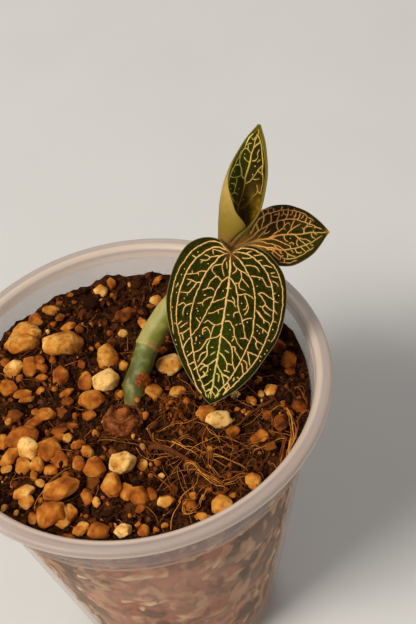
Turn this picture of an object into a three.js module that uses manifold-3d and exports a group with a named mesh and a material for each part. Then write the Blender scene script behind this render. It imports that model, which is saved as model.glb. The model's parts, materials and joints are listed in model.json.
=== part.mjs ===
// A jewel orchid in its pot: three netted leaves on a creeping stem, in a milky plastic pot filled with
// bark, fibre and stones. Millimetres, +Z up. The origin is the centre of the pot's base, and the pot
// stands on z = 0.
import * as THREE from 'three';
import { mergeVertices } from 'three/addons/utils/BufferGeometryUtils.js';
import Module from 'manifold-3d';

const wasm = await Module();
wasm.setup();

// ---- driving dimensions ----

const clearance = 0.3; // between pieces that touch
const roundSides = 48; // sides of the pot and of the mix in it

const pot = {
  height: 87,
  rimRadius: 45,
  mouthRadius: 41.7, // inner edge of the rolled rim
  rimDepth: 2.7,
  rimRound: 0.76, // bevel of the rim's edges
  stepHeight: 71, // the wall steps out here, and the upper band starts
  stepRise: 1,
  bandRadius: 39.8,
  bandTopRadius: 41.85,
  wallRadius: 38.8, // outside of the wall just under the step
  baseRadius: 25,
  wall: 0.9,
  floor: 1.5,
  footRound: 1.4,
  drainRadius: 2,
  drainCircle: 15,
  drainCount: 6,
  drainSides: 12,
};

const mix = {
  level: 80, // mean height of its surface
  hump: 6, // distance between the corners of its surface
  looseStones: 84,
  smallStone: 3.6, // a stone narrower than this has fewer faces
  stoneLift: 0.24, // part of a stone's height by which its middle lies above the mix
  chips: 20,
  chipThickness: 1.2,
  chipLift: 0.4,
  fibres: 12,
  seed: 41,
};

// The stones that stand out, as x, y, width along x, length along y.
const bigStones = [
  [-22, 27, 8.5, 9], [-13, 20, 10, 7], [-15, 12, 4.4, 5], [-3, 14, 5.6, 6.4], [-5, 6, 6, 6],
  [-9, 3, 6, 5], [-12, 36, 4, 3.6], [-14, 33, 4.4, 3.4], [3, 26, 5.6, 4.2], [11, 28, 4, 3.2],
  [11, 8, 6.8, 6.2], [6, 1, 4.6, 5], [10, -2, 4.6, 3.6], [-20, 2, 4.2, 5], [-25, -4, 8.6, 8],
  [-21, -9, 5, 5.8], [-12, -17, 5, 5], [-6, -18, 5.8, 6.6], [-4, -27, 3.8, 5.2], [1, -30, 3.8, 3.4],
  [-20, -21, 8, 6.2], [-28, -18, 5, 3.6], [-23, -26, 7, 6], [-14, -33, 5, 3.6], [-9, -34, 3.8, 4.4],
  [15, -10, 4.6, 4], [17, -13, 6.4, 4.2], [19, -17, 3.8, 3.2], [20, -31, 3.4, 3.6],
  [12, -34, 5, 4.2], [35, 4, 3.6, 3.6], [36, -2, 3.8, 4.2],
];

// The coarse fibres that stand out, as points on the surface.
const bigFibres = [
  [[7, -17], [12, -20], [17, -25], [20, -27], [22, -28]],
  [[19, -21], [21, -22.5], [24, -24], [29, -22]],
  [[6, -22], [9, -25], [11, -28], [14, -30], [18, -29.5], [22, -30]],
  [[18, -15], [24, -12], [30, -10]],
  [[32, -14], [33, -20], [29, -26]],
  [[-27, -22], [-22, -17], [-17, -14]],
  [[13, -27], [17, -25], [21, -23]],
  [[28, -3], [32, -10], [33, -16]],
];
const fibreRadius = 0.45;
const fibreRise = 1.1; // how far a fibre's middle lies above the mix
const fibreRoot = 0.8; // how far its ends lie below

// A piece of curled bark beside the stem: its middle, its size, and the hollow in it.
const bark = {
  middle: [-3, -5],
  lift: 0.8,
  size: [9.6, 8.4, 5],
  hollow: [5, 4, 5],
  hollowAt: [1.2, 0.8, 2.6],
};

// Centre line of the stem, from its buried end to the tip that the young leaf grows from.
const stem = {
  path: [
    [-7, -1, 63], [-5, 0, 72], [-1.5, 1.5, 80.5], [2.6, 4.6, 84.6], [6.4, 8.6, 87.4],
    [10.4, 11.6, 90.4], [16, 13.2, 95.2], [22.4, 13, 101], [27.7, 11.2, 105.9],
  ],
  radius: 2.1, // of the lower joints
  upperRadius: 2.5, // of the pale joint above the third node
  tipRadius: 1.5,
  nodes: [0.16, 0.34, 0.5, 0.76, 0.9], // where the joints meet, as parts of its length
  nodeSwell: 0.35,
  nodeLength: 0.014, // of a swelling, as a part of the stem's length
  sides: 10,
  steps: 34,
};

// Roots grow from the buried end: where they start on the stem, and how far they reach sideways and down.
const roots = [
  { from: 0.03, reach: [-7, -4, -16] },
  { from: 0.08, reach: [6, -5, -19] },
  { from: 0.14, reach: [-2, 8, -17] },
];
const rootRadius = 1.1;
const rootTaper = 0.45; // part of its radius that a root loses towards its end

// Flat leaves. An edge is a list of distances along the leaf and sideways from its middle line, from
// base to tip.
const frontLeaf = {
  base: [28, 7.4, 109.7],
  tip: [15.7, -12.8, 87],
  facing: [-0.07, -0.68, 0.73],
  rightEdge: [
    [-0.6, 0], [-0.9, 0.5], [-2.3, 3.2], [-2, 6], [-0.3, 9], [2.9, 11.9], [7.4, 13.2],
    [13, 13.3], [17.2, 12.5], [21.7, 10.3], [26.7, 6.8], [30.3, 3.1], [32.7, 0],
  ],
  leftEdge: [
    [-0.6, 0], [-1, -0.8], [-2.8, -3], [-2.8, -6.3], [-0.9, -9.5], [3.3, -11.6], [8.2, -12.5],
    [12.5, -12.5], [17.6, -11.2], [22.3, -8.9], [26.8, -6], [31, -2.3], [32.7, 0],
  ],
  middle: [[-0.6, 0], [12.5, 0.5], [32.7, 0]],
  crowding: 1.7, // how much the cross ribs crowd towards the base
  dome: 0.009, // fall of the surface with the square of the distance from the middle line
  tipFall: 0.0026, // fall with the square of the distance from the highest place along the leaf
  crest: 6, // where that place is
  groove: 0.4,
  netHeight: 0.2, // of the raised net above the smooth surface, and depth of its cells
  wave: 0.25,
  thickness: 0.7,
  rows: 16,
};

const sideLeaf = {
  base: [30.3, 12.1, 106.1],
  tip: [51.4, 12.5, 103.7],
  facing: [0.17, -0.35, 0.92],
  rightEdge: [
    [0.2, 0.2], [0.8, 1.1], [3.2, 2.9], [5.5, 5.9], [7.9, 8.3], [10.8, 8.8], [14.6, 7.9],
    [17.4, 5.5], [19.6, 2.6], [21.2, 0],
  ],
  leftEdge: [
    [0.2, 0.2], [0.9, -0.7], [3.2, -2.8], [5.7, -4.5], [8.1, -6], [9.7, -6.3], [12.9, -6.2],
    [16.3, -4.7], [19.2, -2.6], [21.2, 0],
  ],
  middle: [[0.2, 0.2], [9.3, 1], [21.2, 0]],
  crowding: 1.15,
  dome: 0.012,
  tipFall: 0.006,
  crest: 8,
  groove: 0.4,
  netHeight: 0.16,
  wave: 0.3,
  thickness: 0.7,
  rows: 12,
};

// Parts of the half width where the grid lines run. Even ones are arching ribs, and odd ones run
// through the middles of the net's cells.
const ribLines = [0, 0.18, 0.36, 0.5, 0.64, 0.75, 0.85, 0.93, 1];
const grooveWidth = 1.6; // of the groove along a leaf's middle line
const waveWidth = 10; // distance from the middle line where the edge's wave has its full height
const wavePace = 9; // how fast the wave runs along the edge, in radians a leaf

// The rolled leaf. Each row is height along it, shift to its left, radius, and the angles from its back
// to its right and left margins.
const youngLeaf = {
  base: [28.5, 10.7, 107.3],
  tip: [40.2, 21.2, 131.3],
  facing: [-0.22, -0.85, 0.48],
  rows: [
    [1, 1.3, 1.45, 160, 192], [2.7, 1.1, 2, 153, 198], [4, 0.85, 2.5, 149, 203],
    [5.4, 0.65, 3, 138, 213], [6.7, 0.45, 3.4, 124, 222], [7.8, 0.33, 3.7, 111, 208],
    [10, 0.15, 4.2, 98, 171], [12.2, 0.12, 4.35, 92, 152], [15.2, 0.1, 4.3, 88, 122],
    [18, 0, 4, 84, 98], [20.5, 0, 3.55, 78, 82], [23, 0, 2.9, 70, 72],
    [25.4, 0, 2.1, 60, 60], [27.2, 0, 1.15, 50, 50], [28.5, 0, 0.4, 40, 40],
  ],
  columns: 15,
  thickness: 0.65,
  neckStart: 0.6, // how far its neck starts below the stem's tip
  neckRadii: [1.3, 2],
};

// Leaf stalks: where each grows on the stem, the point that it bends round, its radii, and how far it
// reaches under the blade and lies below it.
const stalks = {
  front: {
    from: 0.92, bend: [26.4, 8.6, 106], rootRadius: 1.15, bladeRadius: 0.7, reach: 1.6, under: 1.2,
  },
  side: {
    from: 0.95, bend: [28.8, 13, 104.6], rootRadius: 1.1, bladeRadius: 0.7, reach: 3, under: 1,
  },
};

const colours = {
  pot: 0xb9b0b4,
  mix: 0x4a2a16,
  stem: 0x7c8a3c,
  frontLeaf: 0x28340f,
  sideLeaf: 0x3a2f18,
  youngLeaf: 0x6a6a2a,
};

// ---- helpers ----

const vector = ([x, y, z]) => new THREE.Vector3(x, y, z);
const line = (points) => new THREE.CatmullRomCurve3(points.map(vector), false, 'centripetal');
const flatLine = (points) => line(points.map(([along, across]) => [along, across, 0]));
const lerp = THREE.MathUtils.lerp;
const radians = THREE.MathUtils.degToRad;

// A repeatable source of numbers from 0 to 1.
function randomFrom(seed) {
  const modulus = 2147483647;
  let state = seed;
  return () => {
    state = (state * 16807) % modulus;
    return state / modulus;
  };
}

// Keep only positions, join equal corners, and drop triangles that have no area.
function weld(geometry) {
  const bare = geometry.clone();
  bare.deleteAttribute('normal');
  bare.deleteAttribute('uv');
  const welded = mergeVertices(bare, 1e-4);
  const index = welded.index.array;
  const kept = [];
  for (let i = 0; i < index.length; i += 3) {
    const [a, b, c] = index.slice(i, i + 3);
    if (a !== b && b !== c && c !== a) kept.push(a, b, c);
  }
  welded.setIndex(kept);
  return welded;
}

function signedVolume(geometry) {
  const position = geometry.attributes.position;
  const index = geometry.index.array;
  const [a, b, c] = [new THREE.Vector3(), new THREE.Vector3(), new THREE.Vector3()];
  let volume = 0;
  for (let i = 0; i < index.length; i += 3) {
    a.fromBufferAttribute(position, index[i]);
    b.fromBufferAttribute(position, index[i + 1]);
    c.fromBufferAttribute(position, index[i + 2]);
    volume += a.dot(b.cross(c)) / 6;
  }
  return volume;
}

// A closed geometry becomes a solid whose faces point out.
function solid(geometry) {
  const welded = weld(geometry);
  const triangles = Uint32Array.from(welded.index.array);
  if (signedVolume(welded) < 0) triangles.reverse();
  const vertProperties = Float32Array.from(welded.attributes.position.array);
  return new wasm.Manifold(new wasm.Mesh({ numProp: 3, vertProperties, triVerts: triangles }));
}

// The largest connected body of a solid, without loose scraps or sealed hollows.
function mainBody(body) {
  const parts = body.decompose();
  return parts.reduce((largest, part) => (part.volume() > largest.volume() ? part : largest));
}

function geometryOf(body) {
  const mesh = body.getMesh();
  const geometry = new THREE.BufferGeometry();
  geometry.setAttribute('position', new THREE.BufferAttribute(mesh.vertProperties, 3));
  geometry.setIndex(new THREE.BufferAttribute(mesh.triVerts, 1));
  return geometry;
}

function fuse(bodies) {
  return bodies.reduce((whole, body) => whole.add(body));
}

// A closed body of revolution round +Z, from a profile of radius and height.
function turned(profile, sides = roundSides) {
  const lathe = new THREE.LatheGeometry(profile.map(([r, z]) => new THREE.Vector2(r, z)), sides);
  return solid(lathe.rotateX(Math.PI / 2));
}

// A round bar bent along a curve, with a radius for each part of its length.
function bentBar(curve, radiusAt, sides, steps) {
  const frames = curve.computeFrenetFrames(steps, false);
  const bar = new THREE.CylinderGeometry(1, 1, 1, sides, steps);
  const position = bar.attributes.position;
  for (let i = 0; i < position.count; i++) {
    const step = Math.round((position.getY(i) + 0.5) * steps);
    const along = step / steps;
    const radius = radiusAt(along);
    const point = curve.getPointAt(along);
    point.addScaledVector(frames.normals[step], position.getX(i) * radius);
    point.addScaledVector(frames.binormals[step], position.getZ(i) * radius);
    position.setXYZ(i, point.x, point.y, point.z);
  }
  return solid(bar);
}

// A closed blade: two equal faces, half its thickness either side of a surface, and the edge between them.
// surface(row, column) gives a point and the direction that the upper face looks in.
function blade(surface, rows, columns, thickness) {
  const positions = [];
  for (const side of [0.5, -0.5]) {
    for (let row = 0; row <= rows; row++) {
      for (let column = 0; column <= columns; column++) {
        const { point, normal } = surface(row / rows, column);
        positions.push(...point.addScaledVector(normal, side * thickness).toArray());
      }
    }
  }
  const faceSize = (rows + 1) * (columns + 1);
  const corner = (row, column, lower) => row * (columns + 1) + column + (lower ? faceSize : 0);
  const index = [];
  for (let row = 0; row < rows; row++) {
    for (let column = 0; column < columns; column++) {
      for (const lower of [false, true]) {
        const a = corner(row, column, lower);
        const b = corner(row + 1, column, lower);
        const c = corner(row + 1, column + 1, lower);
        const d = corner(row, column + 1, lower);
        index.push(...(lower ? [a, c, b, a, d, c] : [a, b, c, a, c, d]));
      }
    }
  }
  const strip = (from, to) => {
    const [a, b] = [corner(...from, false), corner(...to, false)];
    index.push(a, a + faceSize, b + faceSize, a, b + faceSize, b);
  };
  for (let row = 0; row < rows; row++) {
    strip([row, 0], [row + 1, 0]);
    strip([row + 1, columns], [row, columns]);
  }
  for (let column = 0; column < columns; column++) {
    strip([0, column + 1], [0, column]);
    strip([rows, column], [rows, column + 1]);
  }
  const geometry = new THREE.BufferGeometry();
  geometry.setAttribute('position', new THREE.Float32BufferAttribute(positions, 3));
  geometry.setIndex(index);
  return solid(geometry);
}

// The three directions of a leaf: along it, sideways, and out of its upper face.
function leafAxes({ base, tip, facing }) {
  const along = vector(tip).sub(vector(base)).normalize();
  const out = vector(facing);
  out.addScaledVector(along, -out.dot(along)).normalize();
  const across = new THREE.Vector3().crossVectors(out, along);
  return { along, across, out };
}

// ---- pot ----

function potProfiles() {
  const { height, rimRadius, mouthRadius, rimDepth, rimRound, stepHeight, stepRise } = pot;
  const { bandRadius, bandTopRadius, wallRadius, baseRadius, wall, floor, footRound } = pot;
  const rimUnder = height - rimDepth;
  const inner = [
    [baseRadius - wall - footRound, floor],
    [baseRadius - wall, floor + footRound],
    [wallRadius - wall, stepHeight],
    [bandRadius - wall, stepHeight + stepRise],
    [bandTopRadius - wall, rimUnder],
    [mouthRadius - 0.35, height - 1],
    [mouthRadius + 0.25, height - 0.2],
  ];
  const outer = [
    [baseRadius - footRound, 0],
    [baseRadius, footRound],
    [wallRadius, stepHeight],
    [bandRadius, stepHeight + stepRise],
    [bandTopRadius, rimUnder],
    [rimRadius - rimRound, rimUnder],
    [rimRadius, rimUnder + rimRound],
    [rimRadius, height - rimRound],
    [rimRadius - rimRound, height],
    [mouthRadius + rimRound, height],
  ];
  return { inner, outer };
}

function makePot() {
  const { inner, outer } = potProfiles();
  const shell = turned([[0, 0], ...outer, ...[...inner].reverse(), [0, pot.floor]]);
  const { drainRadius, drainCircle, drainCount, drainSides, floor } = pot;
  const drains = [];
  for (let i = 0; i < drainCount; i++) {
    const turn = (i + 0.5) * (2 * Math.PI / drainCount);
    const hole = new THREE.CylinderGeometry(drainRadius, drainRadius, floor * 3, drainSides);
    hole.rotateX(Math.PI / 2);
    hole.translate(drainCircle * Math.cos(turn), drainCircle * Math.sin(turn), floor / 2);
    drains.push(solid(hole));
  }
  return shell.subtract(fuse(drains));
}

// ---- potting mix ----

// Height of the bare mix under a point: low humps.
function mixTop(x, y) {
  const broad = 0.8 * Math.sin(0.16 * x + 1.1) * Math.cos(0.14 * y - 0.4);
  const fine = 0.45 * Math.sin(0.55 * x - 0.3 * y) + 0.35 * Math.sin(0.62 * y + 0.35 * x + 2);
  return mix.level + broad + fine;
}

// The inside of the pot, less the clearance, up to a height.
function fillProfile(top) {
  const chord = Math.cos(Math.PI / roundSides); // the flats of the pot's wall lie this far in
  const wall = potProfiles().inner.filter(([, z]) => z < top);
  wall.push([radiusInside(top), top]);
  return wall.map(([r, z]) => [r * chord - clearance, z + clearance]);
}

function radiusInside(height) {
  const wall = potProfiles().inner;
  const next = wall.findIndex(([, z]) => z > height);
  const [low, high] = [wall[next - 1], wall[next]];
  return lerp(low[0], high[0], (height - low[1]) / (high[1] - low[1]));
}

// The room for the mix inside the pot, up to a height.
function roomUpTo(top) {
  const side = fillProfile(top);
  return turned([[0, side[0][1]], ...side, [0, side.at(-1)[1]]]);
}

// The bare mix: a block whose top has the low humps.
function groundBlock() {
  const cells = Math.ceil(2 * pot.mouthRadius / mix.hump);
  const span = cells * mix.hump;
  const block = new THREE.BoxGeometry(span, span, mix.level, cells, cells, 1);
  block.translate(0, 0, mix.level / 2);
  const position = block.attributes.position;
  for (let i = 0; i < position.count; i++) {
    const top = position.getZ(i) > mix.level / 2;
    if (top) position.setZ(i, mixTop(position.getX(i), position.getY(i)));
  }
  return solid(block);
}

// What lies loose on the mix. A stone is x, y, width, length, height and turn.
function layOut() {
  const random = randomFrom(mix.seed);
  const spot = (reach) => {
    const radius = reach * Math.sqrt(random());
    const turn = random() * 2 * Math.PI;
    return [radius * Math.cos(turn), radius * Math.sin(turn)];
  };
  const stones = [];
  for (const [x, y, width, length] of bigStones) {
    const height = Math.min(width, length) * (0.7 + 0.2 * random());
    stones.push([x, y, width, length, height, 0]);
  }
  for (let i = 0; i < mix.looseStones; i++) {
    const [x, y] = spot(37);
    const width = 2.2 + 2.6 * random() ** 2;
    const length = width * (0.75 + 0.5 * random());
    const height = width * (0.65 + 0.3 * random());
    const turn = random() * Math.PI;
    const keep = x < 8 || random() < 0.35; // the right side has more fibre than stone
    if (keep) stones.push([x, y, width, length, height, turn]);
  }
  const chips = [];
  for (let i = 0; i < mix.chips; i++) {
    const [x, y] = spot(35);
    const length = 3.5 + 3.5 * random();
    const tips = [0.9 * (random() - 0.5), 0.9 * (random() - 0.5)];
    chips.push([x, y, length, ...tips, random() * Math.PI]);
  }
  const fibres = bigFibres.slice();
  for (let i = 0; i < mix.fibres; i++) {
    const [x, y] = spot(26);
    const turn = random() * 2 * Math.PI;
    const length = 8 + 9 * random();
    const bow = 3 * (random() - 0.5);
    fibres.push(arc(x + 6, y - 4, turn, length, bow));
  }
  return { stones, chips, fibres };
}

// Five points of a shallow arc on the surface.
function arc(x, y, turn, length, bow) {
  return [-0.5, -0.25, 0, 0.25, 0.5].map((part) => {
    const side = bow * (1 - 4 * part * part);
    const along = length * part;
    return [
      x + along * Math.cos(turn) - side * Math.sin(turn),
      y + along * Math.sin(turn) + side * Math.cos(turn),
    ];
  });
}

// A rough stone: a many-faced ball, pushed about and stretched.
function stone([x, y, width, length, height, turn], number) {
  const random = randomFrom(mix.seed + 1 + number);
  const small = width < mix.smallStone;
  const rough = small ? new THREE.OctahedronGeometry(0.56, 0) : new THREE.IcosahedronGeometry(0.53, 0);
  const geometry = weld(rough);
  const position = geometry.attributes.position;
  for (let i = 0; i < position.count; i++) {
    const push = 0.88 + 0.26 * random();
    position.setXYZ(i, position.getX(i) * push, position.getY(i) * push, position.getZ(i) * push);
  }
  geometry.rotateX(random() * Math.PI);
  geometry.rotateY(random() * Math.PI);
  geometry.scale(width, length, height);
  geometry.rotateZ(turn);
  geometry.translate(x, y, mixTop(x, y) + height * mix.stoneLift);
  return solid(geometry);
}

// A flat chip of bark, tipped about x and y, and half sunk in.
function chip([x, y, length, tipX, tipY, turn], number) {
  const random = randomFrom(mix.seed + 500 + number);
  const geometry = weld(new THREE.BoxGeometry(length, length * 0.55, mix.chipThickness));
  const position = geometry.attributes.position;
  for (let i = 0; i < position.count; i++) {
    position.setX(i, position.getX(i) + 0.8 * (random() - 0.5));
    position.setY(i, position.getY(i) + 0.6 * (random() - 0.5));
  }
  geometry.rotateX(tipX);
  geometry.rotateY(tipY);
  geometry.rotateZ(turn);
  geometry.translate(x, y, mixTop(x, y) + mix.chipLift);
  return solid(geometry);
}

// A coarse fibre that leaves the mix, lies over it and goes back in.
function fibre(points) {
  const last = points.length - 1;
  const raised = points.map(([x, y], i) => {
    const end = i === 0 || i === last;
    return [x, y, mixTop(x, y) + (end ? -fibreRoot : fibreRise)];
  });
  return bentBar(line(raised), () => fibreRadius, 3, last + 2);
}

function curledBark() {
  const { middle, lift, size, hollow, hollowAt } = bark;
  const lump = new THREE.SphereGeometry(0.5, 11, 7).rotateX(Math.PI / 2).scale(...size);
  const cup = new THREE.SphereGeometry(0.5, 8, 5).rotateX(Math.PI / 2).scale(...hollow);
  const body = solid(lump).subtract(solid(cup.translate(...hollowAt)));
  return body.translate([...middle, mixTop(...middle) + lift]);
}

function makeMix() {
  const { stones, chips, fibres } = layOut();
  const room = roomUpTo(pot.height - pot.rimDepth - 1);
  const loose = [...stones.map(stone), ...chips.map(chip), ...fibres.map(fibre)];
  const whole = fuse([groundBlock(), curledBark(), ...loose]);
  return clearOfStem(whole.intersect(room));
}

// ---- stem and roots ----

const stemCurve = line(stem.path);

function stemRadius(along, extra) {
  const upper = THREE.MathUtils.smoothstep(along, stem.nodes[2] - 0.012, stem.nodes[2] + 0.004);
  const taper = THREE.MathUtils.smoothstep(along, 0.62, 1);
  let radius = lerp(stem.radius, stem.upperRadius, upper);
  radius = lerp(radius, stem.tipRadius, taper);
  for (const node of stem.nodes) {
    radius += stem.nodeSwell * Math.exp(-(((along - node) / stem.nodeLength) ** 2));
  }
  return radius + extra;
}

function ball(centre, radius) {
  const geometry = new THREE.SphereGeometry(radius, 8, 4);
  return solid(geometry.translate(centre.x, centre.y, centre.z));
}

// The stem with its roots, thicker all round by extra.
function stemAndRoots(extra) {
  const bodies = [bentBar(stemCurve, (along) => stemRadius(along, extra), stem.sides, stem.steps)];
  for (const end of [0, 1]) bodies.push(ball(stemCurve.getPointAt(end), stemRadius(end, extra)));
  for (const { from, reach } of roots) {
    const start = stemCurve.getPointAt(from);
    const end = start.clone().add(vector(reach));
    const outward = new THREE.Vector3(reach[0] * 0.35, reach[1] * 0.35, 1.5);
    const knee = start.clone().lerp(end, 0.45).add(outward);
    const curve = new THREE.CatmullRomCurve3([start, knee, end]);
    const radiusAt = (along) => rootRadius * (1 - rootTaper * along) + extra;
    bodies.push(bentBar(curve, radiusAt, 5, 5), ball(end, radiusAt(1)));
  }
  return fuse(bodies);
}

// ---- leaves ----

// Height of a flat leaf's smooth surface above its plane, at a part of its length.
function leafRise(leaf, along, across, part) {
  const dome = -leaf.dome * across ** 2 - leaf.tipFall * (along - leaf.crest) ** 2;
  const groove = -leaf.groove * Math.exp(-((across / grooveWidth) ** 2));
  const wave = leaf.wave * Math.sin(wavePace * part) * (Math.abs(across) / waveWidth) ** 3;
  return dome + groove + wave;
}

// The raised net: ribs and cross ribs stand out, and the cells between them are sunk.
function netRise(leaf, rib, part) {
  const crossRib = Math.round(part * leaf.rows) % 2 === 0;
  const height = rib % 2 === 0 || crossRib ? leaf.netHeight : -leaf.netHeight;
  return height * Math.sin(Math.PI * part); // the net fades towards base and tip
}

function flatLeafSurface(leaf) {
  const { along, across, out } = leafAxes(leaf);
  const base = vector(leaf.base);
  const edges = { left: flatLine(leaf.leftEdge), right: flatLine(leaf.rightEdge) };
  const middle = flatLine(leaf.middle);
  const half = ribLines.length - 1;
  return (part, column) => {
    const rib = Math.abs(column - half);
    const edge = column < half ? edges.left : edges.right;
    const start = middle.getPointAt(part ** leaf.crowding);
    const flat = start.clone().lerp(edge.getPointAt(part), ribLines[rib]);
    const point = base.clone();
    point.addScaledVector(along, flat.x);
    point.addScaledVector(across, flat.y);
    point.addScaledVector(out, leafRise(leaf, flat.x, flat.y, part) + netRise(leaf, rib, part));
    return { point, normal: out };
  };
}

// A stalk from the stem's middle to a little way under the blade.
function stalkBody(stalk, leaf) {
  const { along, out } = leafAxes(leaf);
  const start = stemCurve.getPointAt(stalk.from);
  const end = vector(leaf.base).addScaledVector(along, stalk.reach).addScaledVector(out, -stalk.under);
  const meeting = vector(leaf.base).addScaledVector(out, -stalk.under);
  const curve = new THREE.CatmullRomCurve3([start, vector(stalk.bend), meeting, end]);
  return bentBar(curve, (part) => lerp(stalk.rootRadius, stalk.bladeRadius, part), 8, 8);
}

function makeFlatLeaf(leaf, stalk) {
  const columns = 2 * (ribLines.length - 1);
  const flat = blade(flatLeafSurface(leaf), leaf.rows, columns, leaf.thickness);
  return flat.add(stalkBody(stalk, leaf));
}

function youngLeafSurface() {
  const { along, across, out } = leafAxes(youngLeaf);
  const base = vector(youngLeaf.base);
  const { rows, columns } = youngLeaf;
  return (part, column) => {
    const [height, shift, radius, rightAngle, leftAngle] = rows[Math.round(part * (rows.length - 1))];
    const turn = radians(lerp(-rightAngle, leftAngle, column / columns));
    const outward = new THREE.Vector3();
    outward.addScaledVector(across, Math.sin(turn));
    outward.addScaledVector(out, -Math.cos(turn));
    const point = base.clone().addScaledVector(along, height).addScaledVector(across, shift);
    return { point: point.addScaledVector(outward, radius), normal: outward };
  };
}

function makeYoungLeaf() {
  const { rows, columns, thickness, neckStart, neckRadii } = youngLeaf;
  const { along, across } = leafAxes(youngLeaf);
  const roll = blade(youngLeafSurface(), rows.length - 1, columns, thickness);
  const base = vector(youngLeaf.base);
  const centre = ([height, shift]) => {
    return base.clone().addScaledVector(along, height).addScaledVector(across, shift);
  };
  const start = stemCurve.getPointAt(1).addScaledVector(along, -neckStart);
  const neck = new THREE.CatmullRomCurve3([start, centre(rows[0]), centre(rows[1])]);
  return roll.add(bentBar(neck, (part) => lerp(...neckRadii, part), 12, 5));
}

// ---- the object ----

const group = new THREE.Group();

function addPiece(name, body, color, roughness) {
  const material = new THREE.MeshStandardMaterial({ color, roughness, metalness: 0 });
  const mesh = new THREE.Mesh(geometryOf(body), material);
  mesh.name = name;
  group.add(mesh);
}

const stemBody = stemAndRoots(0);
const stemRoom = stemAndRoots(clearance * 1.5); // what the other pieces leave free for the stem
const clearOfStem = (body) => mainBody(body.subtract(stemRoom));

addPiece('pot', makePot(), colours.pot, 0.35);
addPiece('potting_mix', makeMix(), colours.mix, 0.95);
addPiece('stem', stemBody, colours.stem, 0.45);
addPiece('leaf_front', clearOfStem(makeFlatLeaf(frontLeaf, stalks.front)), colours.frontLeaf, 0.6);
addPiece('leaf_side', clearOfStem(makeFlatLeaf(sideLeaf, stalks.side)), colours.sideLeaf, 0.6);
addPiece('leaf_young', clearOfStem(makeYoungLeaf()), colours.youngLeaf, 0.55);

export default group;
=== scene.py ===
import json
import math

import bmesh
import bpy
import numpy as np
from mathutils import Matrix, Vector, kdtree, noise

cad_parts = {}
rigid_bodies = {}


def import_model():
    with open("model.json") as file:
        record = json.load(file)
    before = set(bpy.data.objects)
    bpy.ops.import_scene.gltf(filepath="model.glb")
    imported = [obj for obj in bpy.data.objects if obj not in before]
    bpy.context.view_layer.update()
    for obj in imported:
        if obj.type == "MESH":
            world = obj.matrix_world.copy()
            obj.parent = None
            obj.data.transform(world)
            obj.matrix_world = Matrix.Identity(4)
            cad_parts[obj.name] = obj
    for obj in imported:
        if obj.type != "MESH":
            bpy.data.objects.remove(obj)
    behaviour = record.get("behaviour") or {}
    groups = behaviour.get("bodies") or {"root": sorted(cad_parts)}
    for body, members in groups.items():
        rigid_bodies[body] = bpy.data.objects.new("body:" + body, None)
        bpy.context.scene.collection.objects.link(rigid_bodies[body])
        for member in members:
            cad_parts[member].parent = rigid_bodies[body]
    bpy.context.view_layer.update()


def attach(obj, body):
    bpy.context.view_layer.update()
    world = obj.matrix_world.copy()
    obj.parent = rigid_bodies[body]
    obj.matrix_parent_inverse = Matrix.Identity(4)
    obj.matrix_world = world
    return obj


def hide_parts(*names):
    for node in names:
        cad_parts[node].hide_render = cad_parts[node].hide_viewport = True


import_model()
mm = 0.001
lumpShapes = 10  # different shapes in each set of lumps


# curves, all in millimetres

def curveThrough(points, steps=24):
    points = np.array(points, float)
    framed = np.vstack([2 * points[0] - points[1], points, 2 * points[-1] - points[-2]])
    parts = np.linspace(0, 1, steps, endpoint=False)[:, None]
    pieces = []
    for i in range(1, len(points)):
        a, b, c, d = framed[i - 1:i + 3]
        spans = [max(np.linalg.norm(q - p), 1e-6) ** 0.5 for p, q in ((a, b), (b, c), (c, d))]
        before, between, after = spans
        leave = ((b - a) / before - (c - a) / (before + between) + (c - b) / between) * between
        arrive = ((c - b) / between - (d - b) / (between + after) + (d - c) / after) * between
        square = -3 * b + 3 * c - 2 * leave - arrive
        cube = 2 * b - 2 * c + leave + arrive
        pieces.append(b + leave * parts + square * parts ** 2 + cube * parts ** 3)
    return np.vstack(pieces + [points[-1:]])


def lengths(dense):
    steps = np.linalg.norm(np.diff(dense, axis=0), axis=1)
    return np.concatenate([[0], np.cumsum(steps)])


def atParts(dense, parts):  # points at parts of a curve's length
    run = lengths(dense)
    wanted = np.asarray(parts, float) * run[-1]
    return np.stack([np.interp(wanted, run, dense[:, k]) for k in range(dense.shape[1])], axis=-1)


def evenPoints(points, gap):  # a smooth curve through points, with a point every gap
    dense = curveThrough(points, 12) if len(points) > 2 else np.array(points, float)
    count = max(2, int(lengths(dense)[-1] / gap))
    return atParts(dense, np.linspace(0, 1, count + 1))


def easing(value, low, high):
    part = np.clip((np.asarray(value, float) - low) / (high - low), 0, 1)
    return part * part * (3 - 2 * part)


def eased(value, low, high):  # easing of a single number
    return float(easing(value, low, high))


def wobble(*place):  # smooth noise at a place
    return noise.noise(Vector(place))


def randomFrom(seed):
    state = seed

    def draw():
        nonlocal state
        state = state * 16807 % 2147483647
        return state / 2147483647
    return draw


# meshes

def addObject(name, data):
    made = bpy.data.objects.new(name, data)
    bpy.context.collection.objects.link(made)
    return made


def giveLayer(mesh, name, values, kind="FLOAT"):  # a number or a vector for each point
    numbers = np.asarray(values, np.int32 if kind == "INT" else np.float32).ravel()
    layer = mesh.attributes.new(name, kind, "POINT")
    layer.data.foreach_set("vector" if kind == "FLOAT_VECTOR" else "value", numbers)


def metres(points):
    return [tuple(float(v) * mm for v in p) for p in points]


def newPiece(name, points, faces, material, attributes=None):
    mesh = bpy.data.meshes.new(name)
    mesh.from_pydata(metres(points), [], faces)
    for key, values in (attributes or {}).items():
        giveLayer(mesh, key, values)
    mesh.polygons.foreach_set("use_smooth", [True] * len(mesh.polygons))
    mesh.materials.append(material)
    mesh.update()
    return addObject(name, mesh)


def faceOut(piece):
    made = bmesh.new()
    made.from_mesh(piece.data)
    bmesh.ops.recalc_face_normals(made, faces=made.faces)
    made.to_mesh(piece.data)
    made.free()
    piece.data.update()


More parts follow.
